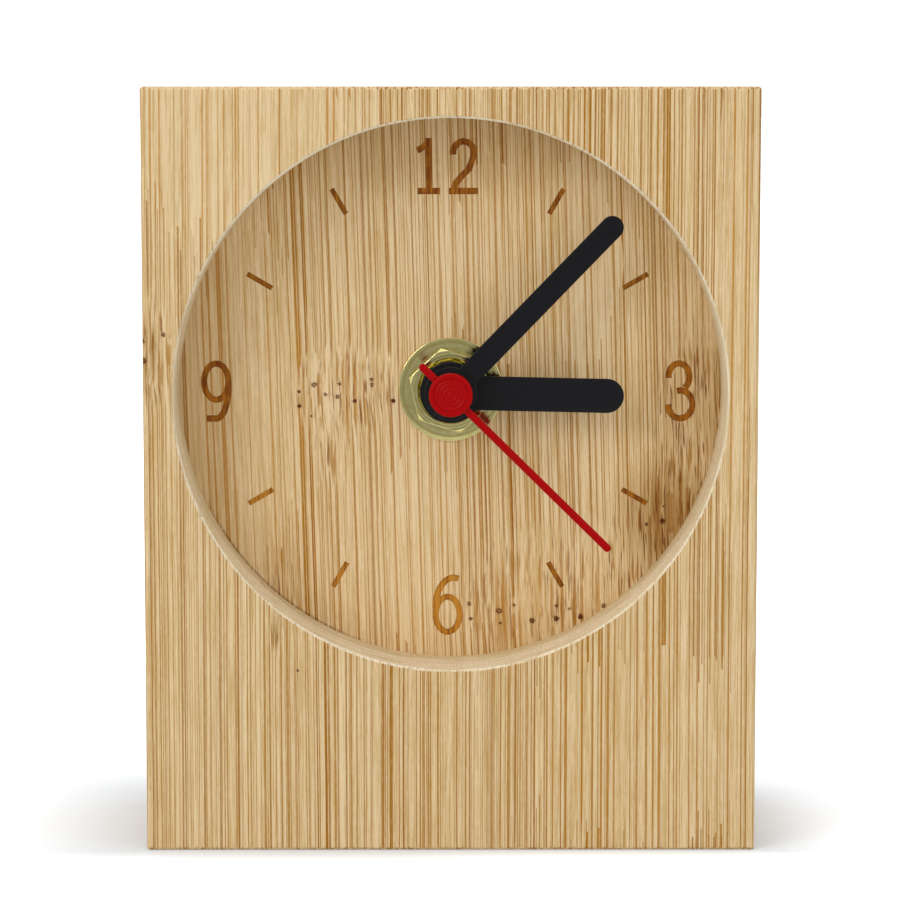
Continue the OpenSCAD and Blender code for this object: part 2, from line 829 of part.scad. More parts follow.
// Involute teeth. The flank runs from the root, or the base circle, out to the tip.
function involute(a) = tan(a) * 180 / PI - a;
function half_tooth(radius, m, teeth, shift) = let (
        pitch_r = m * teeth / 2,
        base_r = pitch_r * cos(pressure_angle),
        on_pitch = 90 / teeth + 2 * shift * tan(pressure_angle) / teeth * 180 / PI,
        thinned = flank_gap / pitch_r * 180 / PI)
    on_pitch - thinned + involute(pressure_angle) - involute(acos(min(1, base_r / radius)));
function root_radius(m, teeth, shift) = m * (teeth / 2 - dedendum_share + shift);
function tip_radius(m, teeth, shift) = m * (teeth / 2 + addendum_share + shift);
function tooth_flank(m, teeth, shift) = let (
        base_r = m * teeth / 2 * cos(pressure_angle),
        root_r = root_radius(m, teeth, shift),
        tip_r = tip_radius(m, teeth, shift),
        start_r = max(base_r, root_r),
        outer = [for (i = [0:flank_steps]) start_r + (tip_r - start_r) * i / flank_steps],
        radii = base_r > root_r ? concat([root_r], outer) : outer)
    [for (r = radii) [r, half_tooth(max(r, base_r), m, teeth, shift)]];
module toothed(m, teeth, shift, phase) {
    flank = tooth_flank(m, teeth, shift);
    n = len(flank) - 1;
    polygon([for (k = [0:teeth - 1], i = [0:2 * n + 1])
        let (p = i <= n ? flank[i] : flank[2 * n + 1 - i],
            side = i <= n ? -1 : 1)
        polar(p[0], phase + 360 * k / teeth + side * p[1])]);
}
module pinion(m, teeth, phase) {
    toothed(m, teeth, pinion_shift_share, phase);
}
module wheel(m, teeth, phase) {
    toothed(m, teeth, wheel_shift_share, phase);
}

// Phases of the seconds train. The second wheel, second pinion, intermediate wheel and third
// pinion have a tooth at 3 o'clock, and the gears that they turn follow.
intermediate_pinion_phase =
    mesh_phase(0, second_wheel_teeth, intermediate_pinion_teeth, intermediate_dir);
rotor_phase = mesh_phase(0, intermediate_wheel_teeth, rotor_teeth, rotor_dir);
third_wheel_phase = mesh_phase(0, second_pinion_teeth, third_wheel_teeth, third_dir);
centre_wheel_phase = mesh_phase(0, third_pinion_teeth, centre_wheel_teeth, third_dir + 180);
// Phases of the motion work
motion_wheel_phase = mesh_phase(0, cannon_teeth, motion_wheel_teeth, motion_dir);
hour_wheel_phase = mesh_phase(0, motion_pinion_teeth, hour_wheel_teeth, motion_dir + 180);
setting_phase = mesh_phase(motion_wheel_phase, motion_wheel_teeth, setting_teeth, setting_dir);

// Share of a hub's radius over the bore that it carries
hub_share = 1.9;
module hour_wheel() {
    color(pale_plastic)
        difference() {
            union() {
                layer(hour_wheel_front, hour_wheel_front + wheel_t)
                    wheel(hour_module, hour_wheel_teeth, hour_wheel_phase);
                rod(hour_front, hour_wheel_front + wheel_t / 2, hour_pipe_r);
            }
            rod(hour_front - over, hour_wheel_front + wheel_t + over, minute_pipe_r + run_gap);
        }
}

module motion_wheel() {
    color(pale_plastic)
        difference() {
            union() {
                layer(motion_wheel_front, motion_wheel_front + wheel_t, motion_at)
                    wheel(motion_module, motion_wheel_teeth, motion_wheel_phase);
                layer(hour_wheel_front - pinion_over, motion_wheel_front + wheel_t / 2, motion_at)
                    pinion(hour_module, motion_pinion_teeth, 0);
            }
            rod(hour_wheel_front - over, motion_wheel_front + wheel_t + over, arbor_r + run_gap,
                motion_at);
        }
}

module minute_pipe() {
    color(brass)
        difference() {
            union() {
                rod(minute_front - pipe_over, pipe_back, minute_pipe_r);
                layer(motion_wheel_front - pinion_over, cannon_back)
                    pinion(motion_module, cannon_teeth, 0);
                rod(pipe_back - pipe_flange_t, pipe_back, minute_pipe_r + pipe_flange_w);
            }
            rod(minute_front - pipe_over - over, pipe_back + over, second_arbor_r + run_gap);
        }
}
pipe_over = 0.2;
pipe_flange_w = 0.8;

// A dished spring washer that grips the centre wheel, and slips when the hands are set
module clutch_spring() {
    front = cannon_back + clutch_play;
    inner = minute_pipe_r + push_gap;
    color(steel)
        translate([0, front - body_d / 2, dial_z])
            rotate([-90, 0, 0])
                rotate_extrude()
                    polygon([[inner, 0], [inner + clutch_land, 0],
                        [clutch_r, clutch_h - clutch_sheet], [clutch_r, clutch_h],
                        [clutch_r - clutch_land, clutch_h], [inner, clutch_sheet]]);
}
clutch_r = 4.2;
clutch_land = 0.6;

module centre_wheel() {
    color(brass)
        difference() {
            layer(centre_wheel_front, centre_wheel_front + wheel_t)
                wheel(centre_module, centre_wheel_teeth, centre_wheel_phase);
            rod(centre_wheel_front - over, centre_wheel_front + wheel_t + over, minute_pipe_r + run_gap);
        }
}

// Gap at the ends of the arbors, and where those that turn in the case's front wall, and in the
// middle plate, begin
pivot_end_gap = 0.1;
case_pivot_front = case_floor - case_front_t / 2 + pivot_end_gap;
plate_pivot_front = middle_plate_front + pivot_end_gap;
module third_wheel() {
    color(pale_plastic)
        union() {
            layer(third_wheel_front, third_wheel_front + wheel_t, third_at)
                wheel(seconds_module, third_wheel_teeth, third_wheel_phase);
            layer(centre_wheel_front - pinion_over, third_wheel_front + wheel_t / 2, third_at)
                pinion(centre_module, third_pinion_teeth, 0);
            rod(case_pivot_front, rear_plate_back - pivot_end_gap, arbor_r, third_at);
        }
}

module second_arbor() {
    color(steel)
        rod(second_front, rear_plate_back - pivot_end_gap, second_arbor_r);
}

module second_wheel() {
    color(pale_plastic)
        difference() {
            union() {
                layer(second_wheel_front, second_wheel_front + wheel_t)
                    wheel(seconds_module, second_wheel_teeth, 0);
                layer(third_wheel_front - pinion_over, second_wheel_front + wheel_t / 2)
                    pinion(seconds_module, second_pinion_teeth, 0);
                rod(second_wheel_front, rear_plate_front - layer_gap, second_arbor_r * hub_share);
            }
            rod(third_wheel_front - over, rear_plate_front, second_arbor_r + push_gap);
        }
}

module intermediate_wheel() {
    color(pale_plastic)
        union() {
            layer(intermediate_front, intermediate_front + wheel_t, intermediate_at)
                wheel(seconds_module, intermediate_wheel_teeth, 0);
            layer(second_wheel_front - pinion_over, intermediate_front + wheel_t / 2, intermediate_at)
                pinion(seconds_module, intermediate_pinion_teeth, intermediate_pinion_phase);
            rod(plate_pivot_front, rear_plate_back - pivot_end_gap, arbor_r, intermediate_at);
        }
}

magnet_front = middle_plate_front + plate_t + layer_gap;
magnet_back = intermediate_front - pinion_over - layer_gap;
module rotor_pinion() {
    color(pale_plastic)
        union() {
            layer(intermediate_front - pinion_over, intermediate_front + wheel_t + pinion_over, rotor_at)
                pinion(seconds_module, rotor_teeth, rotor_phase);
            rod(magnet_back, intermediate_front, arbor_r * hub_share, rotor_at);
            rod(plate_pivot_front, rear_plate_back - pivot_end_gap, arbor_r, rotor_at);
        }
}

module rotor_magnet() {
    color(steel)
        difference() {
            rod(magnet_front, magnet_back, magnet_r, rotor_at);
            rod(magnet_front - over, magnet_back + over, arbor_r + push_gap, rotor_at);
        }
}

// The stator is a flat frame: a leg with the rotor's hole, and an arm to each end of the core
stator_notch_r = 0.4;
module stator() {
    far_x = coil_x - core_w / 2;
    leg = [rotor_at[0] - core_w / 2, rotor_at[1] - core_l / 2];
    color(steel)
        difference() {
            layer(stator_front, stator_front + stator_t) {
                translate(leg)
                    square([core_w, core_l]);
                translate([far_x, leg[1]])
                    square([leg[0] - far_x + core_w, core_w]);
                translate([far_x, leg[1] + core_l - core_w])
                    square([leg[0] - far_x + core_w, core_w]);
                translate(rotor_at)
                    circle(stator_ring_r);
            }
            rod(stator_front - over, stator_front + stator_t + over, stator_hole_r, rotor_at);
            for (side = [-1, 1])
                rod(stator_front - over, stator_front + stator_t + over, stator_notch_r,
                    rotor_at + polar(stator_hole_r, 45 * side + 45));
            for (at = coil_screw_places)
                rod(stator_front - over, stator_front + stator_t + over, screw_r + run_gap, at);
        }
}

module coil_core() {
    color(steel)
        difference() {
            layer(core_front, stator_front, coil_at)
                square([core_w, core_l], center = true);
            for (at = coil_screw_places)
                rod(core_front - over, stator_front + over, screw_r + run_gap, at);
        }
}

// The bobbin and its winding lie along the height
module upright(r, h) {
    translate([coil_x, core_mid - body_d / 2, dial_z + coil_at[1] - h / 2])
        cylinder(h = h, r = r);
}
bobbin_tube_r = norm([core_w, core_t]) / 2 + bobbin_wall;
bobbin_core_gap = 0.05;
module coil_bobbin() {
    color(pale_plastic)
        difference() {
            union() {
                upright(bobbin_tube_r, bobbin_l);
                for (side = [-1, 1])
                    translate([coil_x, core_mid - body_d / 2,
                            dial_z + coil_at[1] + side * (bobbin_l - bobbin_flange_t) / 2])
                        cube([bobbin_flange_w, bobbin_flange_w, bobbin_flange_t], center = true);
            }
            translate([coil_x, core_mid - body_d / 2, dial_z + coil_at[1]])
                cube([core_w + 2 * bobbin_core_gap, core_t + 2 * bobbin_core_gap, bobbin_l + 2 * over],
                    center = true);
        }
}

winding_end_gap = 0.05;
module coil_winding() {
    winding_l = bobbin_l - 2 * bobbin_flange_t - 2 * winding_end_gap;
    color(copper)
        difference() {
            upright(winding_r, winding_l);
            upright(bobbin_tube_r + push_gap, winding_l + 2 * over);
        }
}

module circuit_board() {
    color(board_green)
        difference() {
            layer(board_front, board_back, board_at)
                square([board_w, board_h], center = true);
            for (at = board_screw_places)
                rod(board_front - over, board_back + over, screw_r + run_gap, at);
        }
}

// A drop of black resin over the chip: the top of a ball
module timing_chip() {
    ball_r = (chip_r * chip_r + chip_h * chip_h) / (2 * chip_h);
    color(black_plastic)
        intersection() {
            translate([chip_at[0], board_back + chip_h - ball_r - body_d / 2, dial_z + chip_at[1]])
                sphere(ball_r);
            rod(board_back, board_back + chip_h + over, chip_r + over, chip_at);
        }
}

solder_gap = 0.02;
module quartz_crystal() {
    mid = board_back + crystal_r + solder_gap;
    color(steel)
        translate([crystal_at[0], mid - body_d / 2, dial_z + crystal_at[1]])
            rotate([0, 90, 0]) {
                cylinder(h = crystal_l, r = crystal_r);
                for (side = [-1, 1])
                    translate([0, 0, -crystal_lead_l])
                        translate([side * crystal_lead_gap / 2, 0, 0])
                            cylinder(h = crystal_lead_l + over, r = crystal_lead_r);
            }
}

module small_screw(at, seat) {
    difference() {
        union() {
            rod(seat, seat + screw_head_t, screw_head_r, at);
            rod(seat + screw_head_t - screw_l, seat + screw_head_t / 2, screw_r, at);
        }
        layer(seat + screw_head_t - screw_slot_t, seat + screw_head_t + over, at)
            square([2 * screw_head_r + over, screw_slot_w], center = true);
    }
}

module small_screws() {
    color(steel) {
        for (at = coil_screw_places)
            small_screw(at, stator_front + stator_t);
        for (at = board_screw_places)
            small_screw(at, board_back);
    }
}

// One contact, on the right. It stands against the side wall, bows towards the battery,
// passes the partition's slot and folds onto the circuit board.
module contact() {
    wall_x = bay_half - leaf_wall_gap;
    bow_x = battery_l / 2 + leaf_touch_gap;
    color(steel)
        union() {
            layer(battery_depth - leaf_w / 2, battery_depth + leaf_w / 2) {
                translate([wall_x - leaf_t, leaf_foot])
                    square([leaf_t, leaf_head - leaf_foot]);
                polygon([[wall_x - leaf_t / 2, leaf_foot], [wall_x - leaf_t / 2, leaf_foot + leaf_t],
                    [bow_x + leaf_t, battery_z], [wall_x - leaf_t / 2, battery_z + leaf_bow_h - leaf_t],
                    [wall_x - leaf_t / 2, battery_z + leaf_bow_h], [bow_x, battery_z + leaf_t],
                    [bow_x, battery_z - leaf_t]]);
            }
            layer(board_back + solder_gap, board_back + solder_gap + leaf_t)
                translate([wall_x - leaf_tab_l, board_at[1] - leaf_tab_l / 2])
                    square([leaf_tab_l, leaf_tab_l]);
        }
}

module positive_contact() {
    contact();
}

module negative_contact() {
    mirror([1, 0, 0])
        contact();
}

module battery() {
    can_l = battery_l - nub_l;
    color(steel)
        translate([-battery_l / 2, battery_depth - body_d / 2, dial_z + battery_z])
            rotate([0, 90, 0])
                rotate_extrude() {
                    translate([0, battery_dish_t])
                        square([battery_dish_r, can_l - battery_dish_t]);
                    translate([battery_dish_r, 0])
                        square([battery_dia / 2 - battery_edge_r - battery_dish_r, can_l]);
                    translate([battery_dish_r, battery_edge_r])
                        square([battery_dia / 2 - battery_dish_r, can_l - 2 * battery_edge_r]);
                    for (y = [battery_edge_r, can_l - battery_edge_r])
                        translate([battery_dia / 2 - battery_edge_r, y])
                            circle(battery_edge_r);
                    square([nub_r, battery_l]);
                }
}

module setting_knob() {
    color(case_plastic)
        difference() {
            union() {
                rod(knob_front, knob_back, knob_dia / 2, setting_at);
                rod(motion_wheel_front - pinion_over, knob_front + over, setting_shaft_r, setting_at);
                layer(motion_wheel_front - pinion_over, cannon_back, setting_at)
                    pinion(motion_module, setting_teeth, setting_phase);
                rod(case_pivot_front, motion_wheel_front, setting_pivot_r, setting_at);
            }
            for (k = [1:knob_flutes])
                rod(knob_front - over, knob_back + over, flute_r,
                    setting_at + polar(knob_dia / 2 + flute_r / 2, 360 * k / knob_flutes));
            layer(knob_back - slot_depth, knob_back + over, setting_at)
                square([knob_dia * knob_slot_share, slot_w], center = true);
        }
}
slot_depth = 0.6;
slot_w = 0.9;
knob_slot_share = 0.7;

// A hand: a bar with a round end, a round hub and a boss behind, drawn pointing up
module plain_hand(front, length, w, hub_r, boss_r, boss_l, pipe_r, angle) {
    difference() {
        union() {
            layer(front, front + hand_t)
                rotate(-angle)
                    link([0, 0], [0, length - w / 2], w);
            rod(front, front + hand_t, hub_r);
            rod(front, front + hand_t + boss_l, boss_r);
        }
        rod(front - over, front + hand_t + boss_l + over, pipe_r + push_gap);
    }
}

hour_boss_l = 1.6;
hour_boss_w = 0.8;
minute_boss_l = 0.7;
minute_boss_w = 1.1;
module hour_hand() {
    color(black_plastic)
        plain_hand(hour_front, recess_r - hour_tip_gap, hour_hand_w, hour_hub_dia / 2,
            hour_pipe_r + hour_boss_w, hour_boss_l, hour_pipe_r, hour_angle);
}

module minute_hand() {
    color(black_plastic)
        plain_hand(minute_front, recess_r - minute_tip_gap, minute_hand_w, minute_hub_dia / 2,
            minute_pipe_r + minute_boss_w, minute_boss_l, minute_pipe_r, minute_angle);
}

// The second hand: a ridged needle, a tail and a cap with rings on its face
needle_t = 0.5;
needle_top_share = 0.4;
cap_t = 1.1;
cap_boss_r = 1.1;
cap_boss_l = 0.9;
ring_step = 0.48;
ring_first = 0.75;
ring_r = 0.14;
ring_sink = 0.04;
rings = 4;
module needle_profile() {
    top = second_hand_w * needle_top_share;
    polygon([[-second_hand_w / 2, 0], [second_hand_w / 2, 0], [second_hand_w / 2, needle_t / 2],
        [top / 2, needle_t], [-top / 2, needle_t], [-second_hand_w / 2, needle_t / 2]]);
}
module second_hand() {
    length = recess_r - second_tip_gap;
    color(red_plastic)
        difference() {
            union() {
                intersection() {
                    translate([0, second_front + needle_t - body_d / 2, dial_z])
                        rotate([0, second_angle, 0])
                            translate([0, 0, -second_tail_l])
                                rotate([0, 0, 180])
                                    linear_extrude(second_tail_l + length)
                                        needle_profile();
                    layer(second_front - over, second_front + needle_t + over)
                        rotate(-second_angle)
                            link([0, second_hand_w / 2 - second_tail_l], [0, length - second_hand_w / 2],
                                second_hand_w);
                }
                rod(cap_front, cap_front + cap_t, cap_dia / 2);
                rod(cap_front, cap_front + cap_t + cap_boss_l, cap_boss_r);
            }
            rod(second_front - pivot_end_gap, cap_front + cap_t + cap_boss_l + over,
                second_arbor_r + push_gap);
            for (k = [0:rings - 1])
                translate([0, cap_front - ring_sink - body_d / 2, dial_z])
                    rotate([90, 0, 0])
                        rotate_extrude()
                            translate([ring_first + ring_step * k, 0])
                                circle(ring_r);
        }
}

front_board();
rear_block();
rubber_gasket();
brass_washer();
hex_nut();
movement_case();
threaded_bushing();
case_cover();
middle_plate();
rear_plate();
hour_wheel();
motion_wheel();
minute_pipe();
clutch_spring();
centre_wheel();
third_wheel();
second_arbor();
second_wheel();
intermediate_wheel();
rotor_pinion();
rotor_magnet();
stator();
coil_core();
coil_bobbin();
coil_winding();
circuit_board();
timing_chip();
quartz_crystal();
small_screws();
positive_contact();
negative_contact();
battery();
setting_knob();
hour_hand();
minute_hand();
second_hand();
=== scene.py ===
# Desk clock: the looks of a bamboo block with a round recess, three hands and a quartz movement
import math

import bmesh
import bpy
from mathutils import Euler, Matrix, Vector


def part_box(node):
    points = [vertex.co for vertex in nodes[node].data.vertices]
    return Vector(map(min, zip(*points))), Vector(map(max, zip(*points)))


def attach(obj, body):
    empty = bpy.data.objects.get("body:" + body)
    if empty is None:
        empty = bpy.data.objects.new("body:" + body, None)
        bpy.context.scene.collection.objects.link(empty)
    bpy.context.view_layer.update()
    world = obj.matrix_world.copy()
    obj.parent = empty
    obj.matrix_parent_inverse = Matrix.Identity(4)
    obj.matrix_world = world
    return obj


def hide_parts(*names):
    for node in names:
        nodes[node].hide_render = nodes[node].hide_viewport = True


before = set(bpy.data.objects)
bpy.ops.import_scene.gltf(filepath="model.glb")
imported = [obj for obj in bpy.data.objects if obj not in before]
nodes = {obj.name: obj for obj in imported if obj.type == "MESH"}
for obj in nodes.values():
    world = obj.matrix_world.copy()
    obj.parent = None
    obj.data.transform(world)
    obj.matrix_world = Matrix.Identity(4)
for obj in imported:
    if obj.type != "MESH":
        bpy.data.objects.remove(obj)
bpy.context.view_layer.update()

MM = 0.001

# Places that the frame gives
front_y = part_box("front_board")[0].y
dial_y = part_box("rear_block")[0].y
block_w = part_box("front_board")[1].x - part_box("front_board")[0].x
axis_x, _, axis_z = (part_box("second_arbor")[0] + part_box("second_arbor")[1]) / 2
recess_margin = 4 * MM
recess_r = block_w / 2 - recess_margin


# Small helpers for colours and shader nodes
def srgb(r, g, b):
    """A colour given as it shows on screen, 0 to 255, as the shader's linear colour."""
    def linear(c):
        c = c / 255
        return c / 12.92 if c <= 0.04045 else ((c + 0.055) / 1.055) ** 2.4
    return (linear(r), linear(g), linear(b), 1.0)


class Shader:
    """A material's node tree, with short calls for the nodes that it uses."""

    def __init__(self, name):
        self.material = bpy.data.materials.new(name)
        self.material.use_nodes = True
        self.tree = self.material.node_tree
        self.tree.nodes.clear()
        self.output = self.tree.nodes.new("ShaderNodeOutputMaterial")
        self.place = None

    def put(self, socket, value):
        if isinstance(value, bpy.types.NodeSocket):
            self.tree.links.new(value, socket)
        else:
            socket.default_value = value

    def node(self, kind, inputs=(), **settings):
        made = self.tree.nodes.new(kind)
        for name, value in settings.items():
            setattr(made, name, value)
        for name, value in dict(inputs).items():
            self.put(made.inputs[name], value)
        return made

    def math(self, operation, a, b=0.0, c=0.0):
        made = self.tree.nodes.new("ShaderNodeMath")
        made.operation = operation
        for socket, value in zip(made.inputs, (a, b, c)):
            self.put(socket, value)
        return made.outputs[0]

    def times(self, a, b):
        return self.math("MULTIPLY", a, b)

    def scaled(self, value, factor, offset):
        return self.math("MULTIPLY_ADD", value, factor, offset)

    def less(self, a, b):
        return self.math("SUBTRACT", a, b)

    def without(self, mask, share=1.0):
        """1 where a mask is 0, and less by the share where it is 1."""
        return self.scaled(mask, -share, 1.0)

    def length(self, a, b):
        """The length of a line that spans a one way and b across it."""
        return self.math("SQRT", self.scaled(a, a, self.times(b, b)))

    def weighted(self, *parts):
        """The sum of values, each times its own share."""
        result = None
        for value, share in parts:
            term = self.times(value, share)
            result = term if result is None else self.math("ADD", result, term)
        return result

    def most(self, *terms):
        result = terms[0]
        for term in terms[1:]:
            result = self.math("MAXIMUM", result, term)
        return result

    def ramp(self, value, low, high, to_low=0.0, to_high=1.0):
        """Smooth step: to_low where value is low, to_high where it is high."""
        made = self.node("ShaderNodeMapRange", {"Value": value, "From Min": low, "From Max": high,
                                                "To Min": to_low, "To Max": to_high},
                         interpolation_type="SMOOTHSTEP")
        return made.outputs["Result"]

    def mix(self, share, a, b, blend="MIX"):
        """A share of colour b on colour a. The node's own colour sockets are 6 and 7, and 2 comes out."""
        made = self.tree.nodes.new("ShaderNodeMix")
        made.data_type = "RGBA"
        made.blend_type = blend
        for index, value in ((0, share), (6, a), (7, b)):
            self.put(made.inputs[index], value)
        return made.outputs[2]

    def millimetres(self):
        """The place on the piece at rest, in millimetres, as three sockets."""
        if self.place is None:
            spot = self.node("ShaderNodeTexCoord").outputs["Object"]
            scaled = self.node("ShaderNodeVectorMath", {0: spot, 1: (1000, 1000, 1000)},
                               operation="MULTIPLY").outputs[0]
            apart = self.node("ShaderNodeSeparateXYZ", {0: scaled})
            self.place = apart.outputs[0], apart.outputs[1], apart.outputs[2]
        return self.place

    def vector(self, x=0.0, y=0.0, z=0.0):
        return self.node("ShaderNodeCombineXYZ", {0: x, 1: y, 2: z}).outputs[0]

    def stretched(self, scales, shift=(0.0, 0.0, 0.0)):
        """The place on the piece in millimetres, with each axis scaled and shifted."""
        return self.vector(*[self.scaled(axis, scale, offset)
                             for axis, scale, offset in zip(self.millimetres(), scales, shift)])

    def noise(self, vector, detail=2.0, roughness=0.5, dimensions="3D"):
        made = self.node("ShaderNodeTexNoise", {"Vector": vector, "Scale": 1.0, "Detail": detail,
                                                "Roughness": roughness}, noise_dimensions=dimensions)
        return made.outputs["Fac"]

    def bump(self, height, distance, strength):
        made = self.node("ShaderNodeBump", {"Height": height, "Distance": distance,
                                            "Strength": strength})
        return made.outputs["Normal"]

    def finish(self, **inputs):
        """The principled surface, with inputs named by words with underscores."""
        surface = self.tree.nodes.new("ShaderNodeBsdfPrincipled")
        for name, value in inputs.items():
            self.put(surface.inputs[name.replace("_", " ").title().replace("Ior", "IOR")], value)
        self.tree.links.new(surface.outputs[0], self.output.inputs[0])
        return self.material


# Bamboo. Its fibres run along Z: they show as lines on the faces and as dots on the ends.
PALE_BAMBOO = srgb(231, 206, 165)
WARM_BAMBOO = srgb(206, 172, 118)
# The tint of the darker patches: darker wood, and on the dial also painted shade by the recess wall
SHADE_AND_DARK_WOOD_TINT = srgb(206, 190, 158)
WALL_BAMBOO = srgb(247, 241, 222)
# The colour of the wall's rings, and of its painted shade towards the dial
WALL_RINGS_AND_SHADE = srgb(214, 201, 164)
FIBRE_OCHRE = srgb(164, 110, 0)
FIBRE_AMBER = srgb(150, 92, 0)
FIBRE_ROSY = srgb(164, 112, 44)
FIBRE_GOLD = srgb(190, 128, 16)
STREAK_OCHRE = srgb(190, 132, 46)
DASH_BROWN = srgb(126, 66, 0)
DOT_BROWN = srgb(92, 42, 8)
BURNT_LIGHT = srgb(176, 108, 6)
BURNT_DARK = srgb(116, 50, 0)
BURNT_GRAIN = srgb(196, 150, 70)
BURNT_AMBER = srgb(206, 144, 50)

# Families of fibres: millimetres between them, their widths and runs, and how much of each run shows
BOLD_FIBRES = {"spacing": 0.42, "thinnest": 0.16, "widest": 0.32, "run_l": 60.0, "shown_share": 1.3}
FINE_FIBRES = {"spacing": 0.28, "thinnest": 0.1, "widest": 0.17, "run_l": 40.0, "shown_share": 1.3}
SHORT_STROKES = {"spacing": 0.8, "thinnest": 0.36, "widest": 0.8, "run_l": 5.0, "shown_share": 1.0,
                 "edge": 0.8}

# Noises stretched along the grain: their scale across it and along it, their detail and roughness
BROAD = (0.3, 0.012, 2.0, 0.5)
STREAK = (2.0, 0.02, 2.0, 0.7)
HAIR = (5.0, 0.12, 3.0, 0.7)
SPECK = (6.5, 0.9, 2.0, 0.6)
DASH = (3.2, 0.15, 2.0, 0.55)
DARK_DASH = (4.2, 0.2, 2.0, 0.55)

# Sizes on the boards, in millimetres. A soft line or layer is full up to one size and ends at another.
STRIP_W = 5.6
SPOTS_FULL, SPOTS_END = 1.0, 1.6
WALL_FULL, WALL_END = 0.15, 0.35
BURNT_FULL, BURNT_END = 0.3, 0.4
GLUE_FULL, GLUE_END = 0.04, 0.1
SEAM_FULL, SEAM_END = 0.05, 0.11
RIM_FULL, RIM_END = 0.1, 0.45
dial_mm = dial_y / MM
recess_mm = recess_r / MM


def from_axis(sh):
    """How far a point is from the hands' axis, in millimetres."""
    x, _, z = sh.millimetres()
    return sh.length(sh.less(x, axis_x / MM), sh.less(z, axis_z / MM))


def grain(sh, across, kind, seed, start=0.0):
    """Noise of one of the kinds that are stretched along the grain."""
    _, y, z = sh.millimetres()
    scale, scale_along, detail, roughness = kind
    spot = sh.vector(sh.times(across, scale), sh.scaled(y, scale, seed),
                     sh.scaled(z, scale_along, start))
    return sh.noise(spot, detail, roughness)


def fibres(sh, across, seed, spacing, thinnest, widest, run_l, shown_share,
           held=1.0, kept=1.0, edge=0.35):
    """One family of fibres: how strongly each point shows one, 0 to 1, and a random value of it.
    Where held falls from 1 to 0 they taper off; kept is the share of them that is there, and edge
    the soft share of their width."""
    _, y, z = sh.millimetres()
    spot = sh.vector(sh.scaled(across, 1 / spacing, seed), sh.scaled(y, 1 / spacing, seed / 3))
    cells = sh.node("ShaderNodeTexVoronoi", {"Vector": spot, "Scale": 1.0, "Randomness": 1.0},
                    voronoi_dimensions="2D", feature="F1")
    chance = sh.node("ShaderNodeSeparateColor", {0: cells.outputs["Color"]}).outputs
    reach = sh.scaled(chance[0], (widest - thinnest) / 2 / spacing, thinnest / 2 / spacing)
    # Each fibre fades in and out along its run, at heights of its own
    unlike = 91.0
    run = sh.noise(sh.vector(sh.times(chance[1], unlike), sh.scaled(z, 1 / run_l, seed)),
                   2.0, 0.6, "2D")
    more = 0.35 * shown_share
    shown = sh.times(sh.ramp(run, 0.66 - more, 0.8 - more), sh.math("LESS_THAN", chance[2], kept))
    end_w = 0.1
    above_zero = 0.0001
    reach = sh.times(sh.times(reach, held), sh.scaled(shown, 1 - end_w, end_w))
    reach = sh.most(reach, above_zero)
    rim = 1.1
    inside = sh.ramp(sh.math("DIVIDE", cells.outputs["Distance"], reach), rim, rim - edge)
    strength = sh.scaled(chance[2], 0.25, 0.75)
    return sh.times(sh.times(inside, shown), strength), chance[1]


def from_centre(sh, x, z, centre, half):
    """How far a point of the front is from an ellipse's centre: 1 on the ellipse."""
    return sh.length(sh.math("DIVIDE", sh.less(x, centre[0]), half[0]),
                     sh.math("DIVIDE", sh.less(z, centre[1]), half[1]))


def patches(sh, x, z, places, edge):
    """1, or a place's own third value, inside soft ellipses on the front, 0 outside."""
    if not places:
        return 0.0
    return sh.most(*[sh.ramp(from_centre(sh, x, z, centre, half), 1 + edge, 1 - edge, 0.0, *weight)
                     for centre, half, *weight in places])


def pores(sh, x, z, places):
    """Small ragged scars: dark all over, or a dark rim round a pale middle."""
    masks = []
    for px, pz, r, middle in places:
        far = from_centre(sh, x, z, (px, pz), (r, r))
        halo = sh.ramp(far, 2.2, 1.2, 0.0, 0.12)
        masks.append(sh.times(sh.most(halo, sh.ramp(far, 1.35, 0.75)), sh.ramp(far, 0.0, 0.8, middle, 1.0)))
    return sh.most(*masks)


def ground(sh, across, seed, strip):
    """The colour between the fibres, and its streaks, hair-thin fibres and specks."""
    broad, streak, hair, speck = [grain(sh, across, kind, seed) for kind in (BROAD, STREAK, HAIR, SPECK)]
    tone = sh.weighted((broad, 0.1), (streak, 0.3), (hair, 0.9), (speck, 0.22), (strip, 0.06))
    return sh.mix(sh.ramp(tone, 0.66, 0.98), PALE_BAMBOO, WARM_BAMBOO), streak, hair, speck


def recess_wall(sh):
    """Where the recess wall is, and its colour with faint rings from the cutter, and painted shade that
    darkens it towards the dial.
    """
    _, y, _ = sh.millimetres()
    before_dial = sh.ramp(y, dial_mm - 0.02, dial_mm - 0.1)
    wall = sh.times(sh.ramp(from_axis(sh), recess_mm + WALL_END, recess_mm + WALL_FULL), before_dial)
    painted_shade_depth = 6.0
    rings = sh.noise(sh.stretched((0.1, 1.1, 0.1)), 3.0, 0.7)
    # Painted shade: the wall grows darker over its last millimetres before the dial
    rings = sh.scaled(sh.ramp(y, dial_mm - painted_shade_depth, dial_mm), 0.22, rings)
    return wall, sh.mix(sh.ramp(rings, 0.43, 0.73), WALL_BAMBOO, WALL_RINGS_AND_SHADE)


